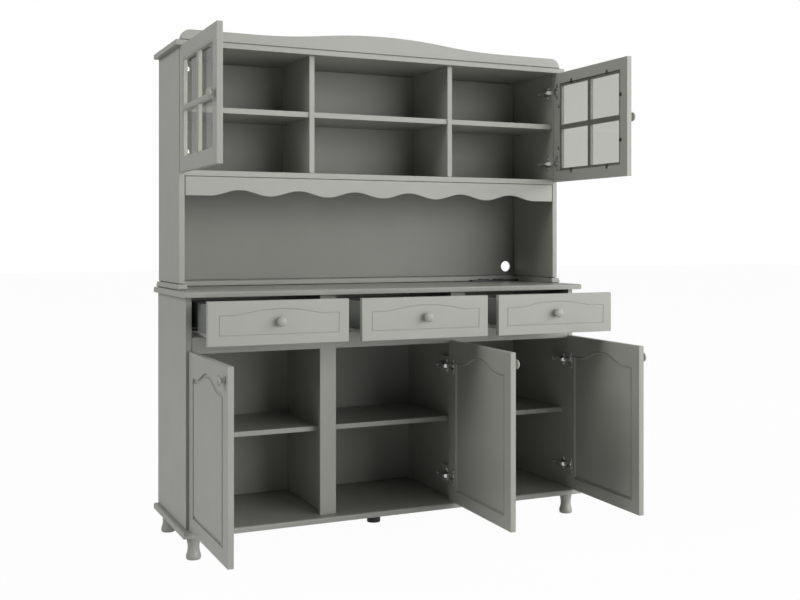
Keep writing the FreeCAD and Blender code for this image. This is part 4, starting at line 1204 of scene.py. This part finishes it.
def seen_share(nodes, links):
    """How much of the white a ray sees: all of it, or as a mirror image a part of it."""
    path = nodes.new("ShaderNodeLightPath")
    direct = sums(nodes, links, "MAXIMUM", path.outputs["Is Camera Ray"],
                  path.outputs["Is Transmission Ray"])
    mirrored = sums(nodes, links, "MULTIPLY", path.outputs["Is Glossy Ray"], MIRRORED_SHARE)
    return sums(nodes, links, "MAXIMUM", mirrored, direct)


def mix_into(output, nodes, links, share, first, second):
    """Lets the share choose between two shaders, and puts the mixture out."""
    choice = nodes.new("ShaderNodeMixShader")
    for socket, value in zip(choice.inputs, (share, first, second)):
        links.new(value, socket)
    links.new(choice.outputs["Shader"], nodes[output].inputs["Surface"])


world = bpy.data.worlds.new("surroundings")
bpy.context.scene.world = world
world.use_nodes = True
nodes, links = world.node_tree.nodes, world.node_tree.links
ambient = nodes["Background"]
ambient.inputs["Color"].default_value = (1, 1, 1, 1)
ambient.inputs["Strength"].default_value = AMBIENT
white = nodes.new("ShaderNodeBackground")
white.inputs["Color"].default_value = (1, 1, 1, 1)
white.inputs["Strength"].default_value = 1
mix_into("World Output", nodes, links, seen_share(nodes, links),
         ambient.outputs["Background"], white.outputs["Background"])

floor_form = bmesh.new()
bmesh.ops.create_grid(floor_form, x_segments=8, y_segments=8, size=FLOOR_HALF)
floor = as_piece("floor", floor_form)
floor_white, nodes, links, shader = new_material("floor_white")
shader.inputs["Base Color"].default_value = (0.8, 0.8, 0.8, 1)
shader.inputs["Roughness"].default_value = 0.9
glow = nodes.new("ShaderNodeEmission")
glow.inputs["Strength"].default_value = 1
share = sums(nodes, links, "MULTIPLY", seen_share(nodes, links), FLOOR_WHITE_SHARE)
mix_into("Material Output", nodes, links, share, shader.outputs["BSDF"],
         glow.outputs["Emission"])
floor.data.materials.append(floor_white)

LAMP_SIZE = 5
LAMP_DISTANCE = 10
CABINET_MIDDLE = (0, -0.1, 0.9)


def soft_light(name, azimuth, elevation, power):
    """A square lamp turned to the cabinet; azimuth 0 is straight in front and 90 its right."""
    around, up = math.radians(azimuth), math.radians(elevation)
    way = Vector((math.sin(around) * math.cos(up), -math.cos(around) * math.cos(up),
                  math.sin(up)))
    lamp = bpy.data.lights.new(name, "AREA")
    lamp.shape = "SQUARE"
    lamp.size = LAMP_SIZE
    lamp.energy = power
    holder = bpy.data.objects.new(name, lamp)
    holder.location = Vector(CABINET_MIDDLE) + way * LAMP_DISTANCE
    holder.rotation_euler = (-way).to_track_quat("-Z", "Y").to_euler()
    bpy.context.scene.collection.objects.link(holder)


for label, azimuth, elevation, power in (
        ("right_side_light", 75, 22, 355), ("right_low_light", 50, 8, 340),
        ("right_high_light", 50, 30, 130), ("front_low_light", 20, 8, 325),
        ("front_high_light", 0, 55, 85), ("left_light", -85, 31, 475)):
    soft_light(label, azimuth, elevation, power)

CAMERA_SPOT = (-1.48895, -3.44737, 0.97745)
CAMERA_TURN = math.radians(-24.757)
FOCAL_LENGTH = 48.713
FRAME_SHIFT = -0.0758
lens = bpy.data.cameras.new("photo_camera")
lens.sensor_width = 36
lens.lens = FOCAL_LENGTH
lens.shift_y = FRAME_SHIFT
camera = bpy.data.objects.new("photo_camera", lens)
camera.location = CAMERA_SPOT
camera.rotation_euler = (math.pi / 2, 0, CAMERA_TURN)
bpy.context.scene.collection.objects.link(camera)
bpy.context.scene.camera = camera
bpy.context.scene.view_settings.view_transform = "Standard"
